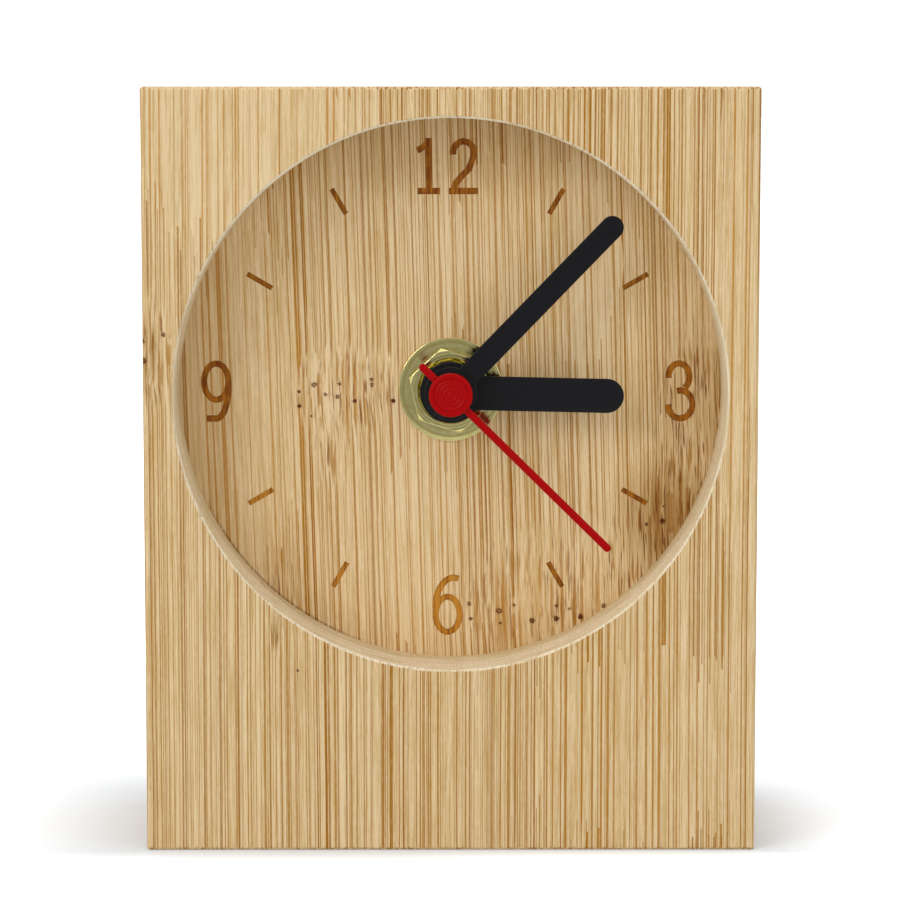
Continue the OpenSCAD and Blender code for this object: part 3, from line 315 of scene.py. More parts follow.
def end_grain(sh, colour, seed, within, wall):
    """The colour with the pores of the top and the bottom, and the glue lines between the strips."""
    facing = sh.node("ShaderNodeSeparateXYZ", {0: sh.node("ShaderNodeTexCoord").outputs["Normal"]})
    on_end = sh.times(sh.ramp(sh.math("ABSOLUTE", facing.outputs[2]), 0.75, 0.95), sh.less(1.0, wall))
    from_middle = sh.math("ABSOLUTE", sh.less(within, 0.5))
    glue = sh.times(on_end, sh.ramp(from_middle, 0.5 - GLUE_END / STRIP_W, 0.5 - GLUE_FULL / STRIP_W))
    pore = sh.noise(sh.stretched((1.3, 1.3, 0.0), (0.0, 0.0, seed)), 3.0, 0.7)
    ends = sh.times(on_end, sh.ramp(pore, 0.35, 0.65, 0.15, 0.5))
    colour = sh.mix(ends, colour, WARM_BAMBOO, "MULTIPLY")
    return sh.mix(sh.times(glue, 0.7), colour, FIBRE_ROSY)


def board_joint(sh, colour):
    """The colour with the glued joint between the two boards, a thin line on the sides."""
    _, y, _ = sh.millimetres()
    outside = sh.ramp(from_axis(sh), recess_mm + 0.5, recess_mm + 1.0)
    from_seam = sh.math("ABSOLUTE", sh.less(y, dial_mm))
    seam = sh.times(outside, sh.ramp(from_seam, SEAM_END, SEAM_FULL, 0.0, 0.6))
    return sh.mix(seam, colour, FIBRE_ROSY)


def burn(sh, colour, hair, lines, pale_marks):
    """The colour with the marks burnt in: they cover what lies a little behind the dial's plane."""
    x, y, z = sh.millimetres()
    depth = sh.times(sh.ramp(y, dial_mm + 0.01, dial_mm + 0.05),
                     sh.ramp(y, dial_mm + BURNT_END, dial_mm + BURNT_FULL))
    burnt = sh.times(depth, sh.ramp(from_axis(sh), recess_mm, recess_mm - 0.5))
    scorch = sh.noise(sh.stretched((1.1, 0.0, 0.5)), 3.0)
    mark_colour = sh.mix(sh.ramp(scorch, 0.35, 0.65), BURNT_LIGHT, BURNT_DARK)
    mark_colour = sh.mix(0.35, mark_colour, sh.mix(1.0, colour, BURNT_GRAIN, "MULTIPLY"))
    paler = sh.times(patches(sh, x, z, pale_marks, 0.3), sh.ramp(hair, 0.35, 0.55, 0.2, 0.8))
    mark_colour = sh.mix(paler, mark_colour, BURNT_AMBER)
    mark_colour = sh.mix(sh.times(lines, 0.5), mark_colour, BURNT_DARK)
    return sh.mix(burnt, colour, mark_colour)


def bamboo(name, seed, lean, tint, face_y, spots, marks):
    """One board, with the places of its spots by kind. Only the dial's board has burnt marks."""
    sh = Shader(name)
    x, y, z = sh.millimetres()
    near_face = sh.ramp(y, face_y / MM + SPOTS_END, face_y / MM + SPOTS_FULL)

    def on_front(kind, edge, height):
        return sh.times(patches(sh, x, height, spots[kind], edge), near_face)

    # The fibres lean a little and hardly wander
    wander_w = 0.8
    wander = sh.noise(sh.stretched((0.05, 0.06, 0.012), (0.0, seed, 0.0)), 1.0)
    above_axis = sh.less(z, axis_z / MM)
    leaned = sh.scaled(above_axis, sh.times(near_face, lean), x)
    across = sh.scaled(wander, wander_w, leaned)
    # Knots: patches where the long fibres break off into short crooked strokes
    knot = on_front("knots", 0.6, z)
    crook_w = 0.35
    crook = sh.noise(sh.stretched((0.9, 0.0, 0.35)))
    across = sh.scaled(sh.times(crook, knot), crook_w, across)
    # Calm patches, where the long fibres taper off, each at a height of its own
    uneven = 5.0
    end_at = sh.noise(sh.vector(sh.times(across, 2.2), seed, 0.0), 1.0)
    ragged_z = sh.scaled(end_at, uneven, sh.less(z, uneven / 2))
    still = sh.without(on_front("calm", 0.3, ragged_z))
    # Broken patches, where short tapering dashes take the long fibres' place
    split = on_front("broken", 0.3, ragged_z)
    held = sh.times(still, sh.without(split, 0.7))
    # Sparse patches have hardly any fine fibres, and fewer but wider bold ones
    thin = on_front("sparse", 0.25, z)
    fine_kept = sh.without(thin, 0.8)
    bold_kept = sh.without(thin, 0.6)
    bold_held = sh.times(held, sh.scaled(thin, 0.15, 1.0))
    bold, bold_kind = fibres(sh, across, seed, held=bold_held, kept=bold_kept, **BOLD_FIBRES)
    fine, fine_kind = fibres(sh, across, seed + 17, held=held, kept=fine_kept, **FINE_FIBRES)
    stroke, stroke_kind = fibres(sh, across, seed + 31, **SHORT_STROKES)
    # Laminated strips, each a little apart in tone and with its fibres denser on one side
    place = sh.scaled(leaned, 1 / STRIP_W, seed)
    strip = sh.node("ShaderNodeTexWhiteNoise", {"W": sh.math("FLOOR", place)},
                    noise_dimensions="1D").outputs["Value"]
    within = sh.math("FRACT", place)
    colour, streak, hair, speck = ground(sh, across, seed, strip)
    # The recess wall is cut smooth: few fibres show on it
    wall, wall_colour = recess_wall(sh)
    open_face = sh.without(wall, 0.65)
    colour = sh.mix(sh.times(wall, 0.7), colour, wall_colour)
    # Strokes and fibres, where the ground isn't worn
    worn = sh.ramp(speck, 0.3, 0.55, 0.8, 1.0)
    dense = sh.times(sh.ramp(within, -0.3, 0.9, 0.85, 1.05), sh.times(open_face, worn))
    dense = sh.times(dense, sh.scaled(strip, 0.3, 0.8))
    fine_colour = sh.mix(sh.ramp(fine_kind, 0.2, 0.45), FIBRE_ROSY, FIBRE_OCHRE)
    bold_colour = sh.mix(sh.ramp(bold_kind, 0.45, 0.8), FIBRE_OCHRE, FIBRE_AMBER)
    bold_colour = sh.mix(sh.times(thin, 0.8), bold_colour, FIBRE_GOLD)
    strokes = sh.times(stroke, sh.times(sh.most(knot, 0.2), open_face))
    colour = sh.mix(sh.times(strokes, 0.9), colour, sh.mix(stroke_kind, STREAK_OCHRE, FIBRE_ROSY))
    colour = sh.mix(sh.times(fine, sh.times(dense, 0.9)), colour, fine_colour)
    colour = sh.mix(sh.times(bold, dense), colour, bold_colour)
    # Dashes in the broken patches and knots, then the darker patches (darker wood, and on the dial also
    # painted shade by the recess wall) and the scars
    dash = grain(sh, across, DASH, seed)
    dark_dash = grain(sh, across, DARK_DASH, seed, seed)
    torn = sh.times(sh.most(split, sh.times(knot, 0.6)), open_face)
    colour = sh.mix(sh.times(torn, sh.ramp(dash, 0.52, 0.64, 0.0, 0.8)), colour, FIBRE_OCHRE)
    colour = sh.mix(sh.times(torn, sh.ramp(dark_dash, 0.57, 0.67, 0.0, 0.85)), colour, DASH_BROWN)
    # Darker patches: darker wood, and on the dial also painted shade close by the recess wall
    painted_shade_and_dark_wood = sh.times(on_front("dark_wood_and_painted_shade", 0.6, z), sh.ramp(streak, 0.35, 0.6, 0.7, 1.0))
    colour = sh.mix(painted_shade_and_dark_wood, colour, SHADE_AND_DARK_WOOD_TINT, "MULTIPLY")
    jag = 0.5
    ragged = sh.noise(sh.stretched((2.6, 0.0, 2.6)))
    jag_x = sh.scaled(ragged, jag, sh.less(x, jag / 2))
    jag_z = sh.scaled(ragged, -jag, sh.math("ADD", z, jag / 2))
    scarred = sh.times(pores(sh, jag_x, jag_z, spots["scars"]), near_face)
    colour = sh.mix(scarred, colour, DOT_BROWN)
    colour = board_joint(sh, end_grain(sh, colour, seed, within, wall))
    colour = sh.mix(1.0, colour, tint, "MULTIPLY")
    if marks:
        # A dark line runs along part of the dial's edge
        at_rim = sh.times(sh.ramp(from_axis(sh), recess_mm - RIM_END, recess_mm - RIM_FULL),
                          patches(sh, x, z, spots["dark_rim"], 0.3))
        colour = sh.mix(sh.times(at_rim, sh.ramp(ragged, 0.35, 0.6, 0.2, 0.6)), colour, DOT_BROWN)
        colour = burn(sh, colour, hair, sh.most(bold, fine), spots["pale_marks"])
    height = sh.weighted((hair, 0.4), (streak, 0.2), (bold, -0.5), (fine, -0.3))
    rough = sh.scaled(hair, 0.16, 0.5)
    return sh.finish(base_color=colour, roughness=rough, normal=sh.bump(height, 0.00004, 0.5),
                     specular_ior_level=0.15)


# Photo pixels to places on the dial and on the front face
DIAL_PX_PER_MM = 7.42
DIAL_CENTRE_PX = (449.8, 384.4)
FACE_PX_PER_MM = 7.66
FACE_CENTRE_PX = (452.5, 395.8)


def on_dial(px, py):
    return ((px - DIAL_CENTRE_PX[0]) / DIAL_PX_PER_MM + axis_x / MM,
            axis_z / MM - (py - DIAL_CENTRE_PX[1]) / DIAL_PX_PER_MM)


def on_face(px, py):
    return ((px - FACE_CENTRE_PX[0]) / FACE_PX_PER_MM + axis_x / MM,
            axis_z / MM - (py - FACE_CENTRE_PX[1]) / FACE_PX_PER_MM)


# Each scar: its place in pixels, its radius in millimetres, and how dark its middle is
DIAL_SCARS_PX = [(300, 387, 0.2, 0.8), (300, 401, 0.26, 1.0), (315, 380, 0.32, 0.3), (340, 379, 0.2, 0.7),
                 (326, 390, 0.2, 0.4), (338, 392, 0.26, 0.5), (355, 396, 0.28, 1.0), (372, 375, 0.24, 0.3),
                 (372, 380, 0.24, 0.4), (393, 396, 0.28, 1.0), (312, 411, 0.15, 0.5),
                 (468, 599, 0.25, 0.5), (470, 614, 0.22, 0.7), (498, 606, 0.36, 0.25), (499, 618, 0.2, 0.7),
                 (513, 600, 0.18, 0.4), (531, 616, 0.34, 0.8), (555, 601, 0.22, 0.3), (555, 614, 0.36, 0.9),
                 (568, 604, 0.2, 0.3), (579, 612, 0.36, 1.0), (602, 601, 0.3, 0.5), (600, 610, 0.2, 0.6),
                 (661, 501, 0.2, 0.8), (660, 516, 0.34, 1.0), (644, 519, 0.24, 0.5), (690, 503, 0.18, 0.8),
                 (684, 517, 0.26, 0.9)]
FACE_SCARS_PX = [(146, 340, 0.3, 0.6), (147, 360, 0.4, 0.7), (167, 334, 0.25, 0.5), (299, 672, 0.16, 0.6)]

dial_spots = {
    "scars": [(*on_dial(px, py), r, middle) for px, py, r, middle in DIAL_SCARS_PX],
    "knots": [(on_dial(348, 385), (6.8, 5.0)), (on_dial(530, 605), (9.0, 6.5)),
              (on_dial(600, 610), (6.0, 6.0)), (on_dial(672, 512), (4.6, 6.0))],
    "calm": [(on_dial(348, 376), (7.0, 4.2)), (on_dial(520, 605), (9.0, 2.2))],
    "broken": [(on_dial(690, 440), (5.5, 15.0)), (on_dial(655, 555), (9.0, 8.0)),
               (on_dial(540, 590), (12.0, 8.5), 0.7), (on_dial(345, 388), (6.8, 5.5), 0.9),
               (on_dial(334, 430), (2.6, 6.5), 0.9), (on_dial(287, 583), (2.0, 3.5), 0.8)],
    "sparse": [(on_dial(245, 400), (7.5, 26.0)), (on_dial(420, 540), (5.0, 16.0), 0.7),
               (on_dial(530, 260), (12.0, 14.0), 0.5)],
    # The patches close by the recess wall, at the top, far left and right, are painted shade with some wood
    # tone; the one lower right is a darker knot
    "dark_wood_and_painted_shade": [(on_dial(665, 512), (5.6, 7.0)), (on_dial(722, 400), (2.4, 12.0)),
               (on_dial(690, 395), (5.5, 9.0), 0.5), (on_dial(447, 150), (20.0, 5.0), 0.35),
               (on_dial(200, 390), (6.0, 26.0), 0.4)],
    "pale_marks": [(on_dial(444, 602), (4.0, 6.0)), (on_dial(260, 494), (4.0, 4.0)),
                   (on_dial(340, 575), (4.0, 4.0))],
    "dark_rim": [(on_dial(275, 575), (13.0, 12.0))],
}
face_spots = {
    "scars": [(*on_face(px, py), r, middle) for px, py, r, middle in FACE_SCARS_PX],
    "knots": [(on_face(158, 350), (2.4, 5.0))],
    "calm": [(on_face(163, 345), (2.5, 4.0))],
    "broken": [(on_face(156, 350), (2.6, 7.0), 0.9), (on_face(277, 628), (1.1, 3.4))],
    "sparse": [(on_face(735, 300), (2.4, 30.0)), (on_face(240, 130), (15.0, 15.0)),
               (on_face(640, 750), (14.0, 14.0), 0.45)],
    "dark_wood_and_painted_shade": [(on_face(152, 350), (1.8, 3.5), 0.5), (on_face(277, 628), (0.7, 2.4), 0.6)],
}

# The dial's board is made a little lighter than the front one, partly as painted light against the shade in
# the recess, and its grain leans. Each has its own seed.
FACE_TINT = (0.985, 0.97, 0.92, 1.0)
# Painted light in part: the dial's tint lifts it above its wood's own tone
DIAL_TINT_AND_PAINTED_LIGHT = (1.04, 1.025, 0.99, 1.0)
front_bamboo = bamboo("front_bamboo", seed=3.7, lean=0.0, tint=FACE_TINT, face_y=front_y,
                      spots=face_spots, marks=False)
dial_bamboo = bamboo("dial_bamboo", seed=41.3, lean=0.03, tint=DIAL_TINT_AND_PAINTED_LIGHT, face_y=dial_y,
                     spots=dial_spots, marks=True)


# Other materials
def plain(name, base, rough, detail, size, metal=0.0, gloss=0.5):
    """Moulded plastic or plain metal: slightly uneven in colour, gloss and height."""
    sh = Shader(name)
    mottle = sh.noise(sh.stretched([1 / size] * 3), 3.0, 0.6)
    darker = tuple(c * (1 - 2 * detail) for c in base[:3]) + (1.0,)
    lighter = tuple(min(1.0, c * (1 + 2 * detail)) for c in base[:3]) + (1.0,)
    colour = sh.mix(sh.ramp(mottle, 0.3, 0.7), darker, lighter)
    uneven = sh.scaled(mottle, 0.12, rough - 0.06)
    return sh.finish(base_color=colour, roughness=uneven, metallic=metal,
                     normal=sh.bump(mottle, 0.00001, 0.2), specular_ior_level=gloss)


def turned_brass(name):
    """Bright brass with fine rings from the lathe about the hands' axis, and faint stains."""
    sh = Shader(name)
    _, y, _ = sh.millimetres()
    fineness = 2.6
    rings = sh.noise(sh.vector(sh.times(from_axis(sh), fineness), sh.times(y, fineness)), 3.0, 0.6, "2D")
    stain = sh.noise(sh.stretched((1.0, 1.0, 1.0)), 3.0, 0.6)
    tarnish = sh.ramp(sh.scaled(rings, 0.7, sh.times(stain, 0.3)), 0.38, 0.62)
    colour = sh.mix(tarnish, srgb(236, 228, 164), srgb(214, 198, 122))
    rough = sh.scaled(stain, 0.06, 0.07)
    return sh.finish(base_color=colour, roughness=rough, metallic=1.0,
                     normal=sh.bump(rings, 0.00012, 0.4))


def wrapped_can(name):
    """A battery's can: a plain wrap with a band, and bare steel at both ends."""
    sh = Shader(name)
    x, _, _ = sh.millimetres()
    low_x, high_x = (v.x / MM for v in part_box("battery"))
    wrap_from = low_x + 1.0
    wrap_to = high_x - 2.2
    step = 0.05

    def between(first, last):
        return sh.times(sh.ramp(x, first, first + step), sh.ramp(x, last, last - step))

    wrapped = between(wrap_from, wrap_to)
    band = between(wrap_to - 9.0, wrap_to - 3.0)
    scuffs = sh.noise(sh.stretched((0.8, 2.0, 2.0)), 4.0, 0.7)
    wrap = sh.mix(sh.ramp(scuffs, 0.3, 0.7), srgb(46, 70, 100), srgb(60, 86, 118))
    wrap = sh.mix(band, wrap, srgb(176, 178, 182))
    colour = sh.mix(wrapped, srgb(188, 188, 190), wrap)
    bare = sh.less(1.0, wrapped)
    rough = sh.scaled(scuffs, 0.2, 0.16)
    return sh.finish(base_color=colour, roughness=rough, metallic=bare,
                     normal=sh.bump(scuffs, 0.00002, 0.3))


brass = turned_brass("brass")
hand_black = plain("hand_black", srgb(17, 17, 21), rough=0.42, detail=0.08, size=0.25, gloss=0.2)
hand_red = plain("hand_red", srgb(166, 0, 2), rough=0.34, detail=0.04, size=0.3, gloss=0.08)
case_plastic = plain("case_plastic", srgb(30, 30, 32), rough=0.5, detail=0.08, size=0.3)
gear_plastic = plain("gear_plastic", srgb(228, 226, 216), rough=0.4, detail=0.03, size=0.5)
steel = plain("steel", srgb(190, 190, 194), rough=0.28, detail=0.05, size=0.5, metal=1.0)
copper_wire = plain("copper_wire", srgb(190, 100, 50), rough=0.35, detail=0.06, size=0.2, metal=1.0)
board_laminate = plain("board_laminate", srgb(36, 92, 54), rough=0.4, detail=0.06, size=0.4)
sign_plastic = plain("sign_plastic", srgb(98, 98, 100), rough=0.35, detail=0.05, size=0.3)
black_resin = plain("black_resin", srgb(18, 18, 20), rough=0.25, detail=0.06, size=0.6)
battery_can = wrapped_can("battery_can")
gasket_rubber = plain("gasket_rubber", srgb(22, 22, 22), rough=0.8, detail=0.1, size=0.2)

FINISHES = {
    front_bamboo: ["front_board"],
    dial_bamboo: ["rear_block"],
    gasket_rubber: ["rubber_gasket"],
    brass: ["brass_washer", "hex_nut", "threaded_bushing", "centre_wheel", "minute_pipe"],
    case_plastic: ["movement_case", "case_cover", "setting_knob"],
    gear_plastic: ["middle_plate", "rear_plate", "hour_wheel", "motion_wheel", "third_wheel",
                   "second_wheel", "intermediate_wheel", "rotor_pinion", "coil_bobbin"],
    steel: ["clutch_spring", "second_arbor", "rotor_magnet", "stator", "coil_core", "small_screws",
            "quartz_crystal", "positive_contact", "negative_contact"],
    copper_wire: ["coil_winding"],
    board_laminate: ["circuit_board"],
    black_resin: ["timing_chip"],
    battery_can: ["battery"],
    hand_black: ["hour_hand", "minute_hand"],
    hand_red: ["second_hand"],
}
for material, names in FINISHES.items():
    for name in names:
        mesh = nodes[name].data
        mesh.materials.clear()
        mesh.materials.append(material)


# Pieces modelled anew, where the photo shows edges that a plain solid hasn't
def arc(centre, r, first, last, steps):
    """Points of an arc, in degrees."""
    turns = [math.radians(first + (last - first) * k / steps) for k in range(steps + 1)]
    return [(centre[0] + r * math.cos(t), centre[1] + r * math.sin(t)) for t in turns]


def to_frame(u, depth, v):
    """A point given in millimetres right of and above the hands' axis, at a depth."""
    return Vector((axis_x + u * MM, depth * MM, axis_z + v * MM))


def new_piece(name, mesh_maker, material, body, replaced, smooth_angle=35):
    mesh = bmesh.new()
    mesh_maker(mesh)
    bmesh.ops.remove_doubles(mesh, verts=mesh.verts, dist=1e-7)
    bmesh.ops.recalc_face_normals(mesh, faces=mesh.faces)
    data = bpy.data.meshes.new(name)
    mesh.to_mesh(data)
    mesh.free()
    piece = bpy.data.objects.new(name, data)
    bpy.context.scene.collection.objects.link(piece)
    data.materials.append(material)
    data.shade_smooth()
    data.set_sharp_from_angle(angle=math.radians(smooth_angle))
    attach(piece, body)
    if replaced:
        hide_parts(*replaced)
    return piece


def skin(mesh, rings, closed=False):
    """Faces between rings of points, each ring closed, with as many points in each."""
    verts = [[mesh.verts.new(p) for p in ring] for ring in rings]
    pairs = list(zip(verts, verts[1:]))
    if closed:
        pairs.append((verts[-1], verts[0]))
    for low, high in pairs:
        for k in range(len(low)):
            after = (k + 1) % len(low)
            mesh.faces.new((low[k], low[after], high[after], high[k]))
    return verts


def turned(mesh, profile):
    """A ring turned about the hands' axis, from closed (depth, radius) corners in millimetres."""
    segments = 128
    turns = [2 * math.pi * k / segments for k in range(segments)]
    skin(mesh, [[to_frame(r * math.sin(t), depth, r * math.cos(t)) for t in turns]
                for depth, r in profile], closed=True)


def hand_outline(w, hub_r, length, inset):
    """A hand pointing up: the hub's round back, then the bar and its round end."""
    steps = 24
    half = w / 2 - inset
    hub = hub_r - inset
    meet = math.degrees(math.asin(half / hub))
    back = arc((0, 0), hub, 90 + meet, 450 - meet, 3 * steps)
    tip = arc((0, length - w / 2), half, 0, 180, steps)
    return back + tip


def moulded_hand(front, back, boss_back, w, hub_r, boss_r, bore_r, length, angle, edge):
    """A moulded hand with softened edges, a boss behind its hub and a bore."""
    def make(mesh):
        turn = math.radians(-angle)

        def ring(points, depth):
            return [to_frame(u * math.cos(turn) - v * math.sin(turn), depth,
                             u * math.sin(turn) + v * math.cos(turn)) for u, v in points]

        soft = [(math.sin(math.radians(a)), 1 - math.cos(math.radians(a))) for a in (0, 30, 60, 90)]
        rims = [(front + edge * (1 - s), edge * c) for s, c in reversed(soft)]
        rims += [(back - edge * (1 - s), edge * c) for s, c in soft]
        outer = skin(mesh, [ring(hand_outline(w, hub_r, length, inset), depth) for depth, inset in rims])
        count = 64
        bore = [(front, bore_r + edge), (front + edge, bore_r), (boss_back, bore_r), (boss_back, boss_r),
                (back, boss_r)]
        inner = skin(mesh, [ring(arc((0, 0), r, 0, 360 - 360 / count, count - 1), depth)
                            for depth, r in bore])
        for outside, inside in ((outer[0], inner[0]), (outer[-1], inner[-1])):
            edges = []
            for loop in (outside, inside):
                for k in range(len(loop)):
                    edges.append(mesh.edges.get((loop[k], loop[(k + 1) % len(loop)])))
            bmesh.ops.triangle_fill(mesh, use_beauty=True, edges=edges)
    return make


def node_span(name):
    """Front and back of a node, in millimetres."""
    low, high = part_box(name)
    return low.y / MM, high.y / MM


# The hands' sizes in millimetres, and their angles in degrees clockwise from 12
HOUR_HAND = {"w": 4.5, "hub_r": 4.05, "boss_r": 3.3, "bore_r": 2.51, "length": 22.8, "angle": 91.26}
MINUTE_HAND = {"w": 3.0, "hub_r": 3.5, "boss_r": 2.6, "bore_r": 1.51, "length": 31.8, "angle": 44.08}
hand_t = 0.6
hand_edge = 0.12
for name, body, sizes in (("hour_hand", "hour_group", HOUR_HAND),
                          ("minute_hand", "minute_group", MINUTE_HAND)):
    hand_front, boss_end = node_span(name)
    new_piece(name + "_moulded",
              moulded_hand(hand_front, hand_front + hand_t, boss_end, edge=hand_edge, **sizes),
              hand_black, body, [name])

# The second hand's cap, with the needle let into its back
cap_t = 1.1


def second_cap(mesh):
    """The cap: a rounded rim round a slightly sunk face with fine ridges."""
    front, back = node_span("second_hand")
    rim_r = 2.875
    back_edge = 0.15
    edge = 0.3
    ridged_r = 2.15
    sink = 0.12
    ridge = 0.1
    ridges = 4
    hole_r = 0.51
    front_wall = 0.7
    hole_end = front + front_wall
    cap_back = front + cap_t
    boss_r = 1.1
    profile = [(hole_end, 0), (hole_end, hole_r), (back, hole_r), (back, boss_r), (cap_back, boss_r),
               (cap_back, rim_r - back_edge), (cap_back - back_edge, rim_r)]
    profile += [(front + edge - edge * math.sin(math.radians(a)),
                 rim_r - edge + edge * math.cos(math.radians(a))) for a in range(0, 91, 15)]
    rim_drop = 0.02
    rim_gap = 0.1
    profile += [(front + rim_drop, ridged_r + rim_gap)]
    steps = 60
    for k in range(steps + 1):
        r = ridged_r * (1 - k / steps)
        wave = 0.5 - 0.5 * math.cos(2 * math.pi * ridges * r / ridged_r)
        profile.append((front + sink - ridge * wave, r))
    turned(mesh, profile)


def needle(mesh):
    """The needle with its tail: flat sides and a ridged top, round at both ends."""
    cap_front, _ = node_span("second_hand")
    back = cap_front + cap_t
    w = 1.0
    length = 29.3
    tail = 5.6
    thickness = 0.5
    flank = 0.25
    shoulder_w, shoulder = 0.55, 0.44
    least = 0.04
    second_angle = 134.55
    turn = math.radians(-second_angle)
    stations = [-tail + w / 2 * (1 - math.cos(math.radians(a))) for a in range(0, 91, 15)]
    stations += [length - w / 2 * (1 - math.cos(math.radians(a))) for a in range(90, -1, -15)]
    rings = []
    for s in stations:
        from_end = min(s + tail, length - s)
        round_share = math.sqrt(max(0.0, 1 - max(0.0, 1 - from_end / (w / 2)) ** 2))
        half = w / 2 * max(round_share, least)
        rise = 0.5 + 0.5 * round_share
        side = [(half, back), (half, back - flank * rise), (shoulder_w * half, back - shoulder * rise)]
        section = side + [(0.0, back - thickness * rise)] + [(-u, depth) for u, depth in reversed(side)]
        rings.append([to_frame(u * math.cos(turn) - s * math.sin(turn), depth,
                               u * math.sin(turn) + s * math.cos(turn)) for u, depth in section])
    verts = skin(mesh, rings)
    mesh.faces.new(verts[0])
    mesh.faces.new(verts[-1])


def fuse(piece, mesh_maker, smooth_angle):
    """Joins one more closed mesh to a piece, with no faces left inside."""
    mesh = bmesh.new()
    mesh_maker(mesh)
    bmesh.ops.recalc_face_normals(mesh, faces=mesh.faces)
    data = bpy.data.meshes.new("fused")
    mesh.to_mesh(data)
    mesh.free()
    other = bpy.data.objects.new("fused", data)
    bpy.context.scene.collection.objects.link(other)
    union = piece.modifiers.new("union", "BOOLEAN")
    union.operation = "UNION"
    union.solver = "EXACT"
    union.object = other
    seen = piece.evaluated_get(bpy.context.evaluated_depsgraph_get())
    whole = bpy.data.meshes.new_from_object(seen)
    piece.modifiers.clear()
    piece.data = whole
    bpy.data.objects.remove(other)
    whole.shade_smooth()
    whole.set_sharp_from_angle(angle=math.radians(smooth_angle))


red_smooth = 40
hand = new_piece("second_hand_moulded", second_cap, hand_red, "second_group",
                 ["second_hand"], smooth_angle=red_smooth)
fuse(hand, needle, red_smooth)


def soft_ring(front, back, inner, outer, edge):
    """Corners of a ring with rounded rims, as (depth, radius)."""
    steps = 4
    profile = []
    for corner_y, corner_r, first in ((front + edge, outer - edge, 0), (front + edge, inner + edge, 90),
                                      (back - edge, inner + edge, 180), (back - edge, outer - edge, 270)):
        for k in range(steps + 1):
            a = math.radians(first + 90 * k / steps)
            profile.append((corner_y - edge * math.sin(a), corner_r + edge * math.cos(a)))
    return profile


def washer(mesh):
    front, back = node_span("brass_washer")
    turned(mesh, soft_ring(front, back, inner=4.25, outer=6.9, edge=0.1))


def nut(mesh):
    """A hexagon nut, chamfered at its corners and its bore."""
    front, back = node_span("hex_nut")
    flats = 10.0
    corner_r = flats / 2 / math.cos(math.radians(30))
    chamfer = 0.4
    slope = 1.3
    face_r = corner_r - chamfer
    bore_r = 4.01
    bore_chamfer = 0.35
    edge = 0.06
    bend = 0.3 * edge
    nut_angle = -12.8
    segments = 6 * 16
    corner_count = 9
    rows = [[] for _ in range(corner_count)]
    for k in range(segments):
        turn = 2 * math.pi * k / segments
        within = (math.degrees(turn) + 30) % 60 - 30
        side = flats / 2 / math.cos(math.radians(within - 30 if within > 0 else within + 30))
        drop = max(0.0, (side - face_r) / slope)
        top = min(side, face_r)
        shoulder = front + drop
        corners = [(back - edge, side), (shoulder + edge, side), (shoulder + bend, side - bend),
                   (front + bend, top - bend), (front, top - edge), (front, bore_r + bore_chamfer),
                   (front + bore_chamfer, bore_r), (back, bore_r), (back, side - edge)]
        angle = turn + math.radians(nut_angle)
        for row, (depth, r) in zip(rows, corners):
            row.append(to_frame(r * math.sin(angle), depth, r * math.cos(angle)))
    skin(mesh, rows, closed=True)


def thread(mesh):
    """The bushing: a flange behind, a bore, and a thread that a V-shaped groove winds round."""
    front, back = node_span("threaded_bushing")
    major_r = 4.0
    groove = 0.42
    pitch = 0.75
    flange_t = 0.5
    flange_r = 5.3
    bore_r = 2.56
    lead_in = 0.35
    crest = 0.12
    count = 96
    steps = 8
    thread_end = back - flange_t

    def ring(depth, radius_at):
        turns = [2 * math.pi * k / count for k in range(count)]
        return [to_frame(radius_at(t) * math.sin(t), depth, radius_at(t) * math.cos(t)) for t in turns]

    def threaded_r(depth):
        def radius_at(t):
            phase = (depth / pitch + t / (2 * math.pi)) % 1
            from_crest = min(1.0, max(0.0, (abs(2 * phase - 1) - crest) / (1 - 2 * crest)))
            return min(major_r - groove * from_crest, major_r - lead_in + (depth - front))
        return radius_at

    rows = round((thread_end - front) / pitch * steps)
    depths = [front + (thread_end - front) * k / rows for k in range(rows + 1)]
    rings = [ring(front, lambda t: bore_r)]
    rings += [ring(depth, threaded_r(depth)) for depth in depths]
    rings += [ring(thread_end, lambda t: flange_r), ring(back, lambda t: flange_r),
              ring(back, lambda t: bore_r)]
    skin(mesh, rings, closed=True)


new_piece("threaded_bushing_cut", thread, brass, "housing", ["threaded_bushing"],
          smooth_angle=30)
new_piece("brass_washer_turned", washer, brass, "housing", ["brass_washer"])
new_piece("hex_nut_turned", nut, brass, "housing", ["hex_nut"], smooth_angle=20)


# Signs moulded on the back: the battery's poles and the way to turn the knob
sign_height = 0.12
sign_line = 0.5
sign_l = 3.2
sign_up = 2.6
sign_in = 3.0


def raised(outlines):
    """Low flat shapes on the cover's back, from outlines in millimetres round a place on it."""
    def make(mesh):
        _, foot = node_span("case_cover")
        for (mid_x, mid_z), outline in outlines:
            points = [(mid_x + u - axis_x / MM, mid_z + v - axis_z / MM) for u, v in outline]
            verts = skin(mesh, [[to_frame(u, depth, v) for u, v in points]
                                for depth in (foot, foot + sign_height)])
            mesh.faces.new(verts[0])
            mesh.faces.new(verts[-1])
    return make


def on_circle(r, angle):
    """The point of a circle round the place at an angle in degrees."""
    return r * math.cos(math.radians(angle)), r * math.sin(math.radians(angle))


def bars(arms, length):
    """A star of round-ended arms: two make a minus sign and four a plus sign."""
    half = sign_line / 2
    outline = []
    for k in range(arms):
        turn = 360 * k / arms
        outline += arc(on_circle(length / 2 - half, turn), half, turn - 90, turn + 90, 8)
        if arms == 4:
            outline.append(on_circle(half * math.sqrt(2), turn + 45))
    return outline


def turn_arrow(r, first, last, head):
    """A bent arrow: an arc's band that ends in a point."""
    half = sign_line / 2
    steps = 16
    point = [on_circle(r + 3 * half, last), on_circle(r, last + head), on_circle(r - 3 * half, last)]
    return (arc((0, 0), r + half, first, last, steps) + point
            + arc((0, 0), r - half, last, first, steps))


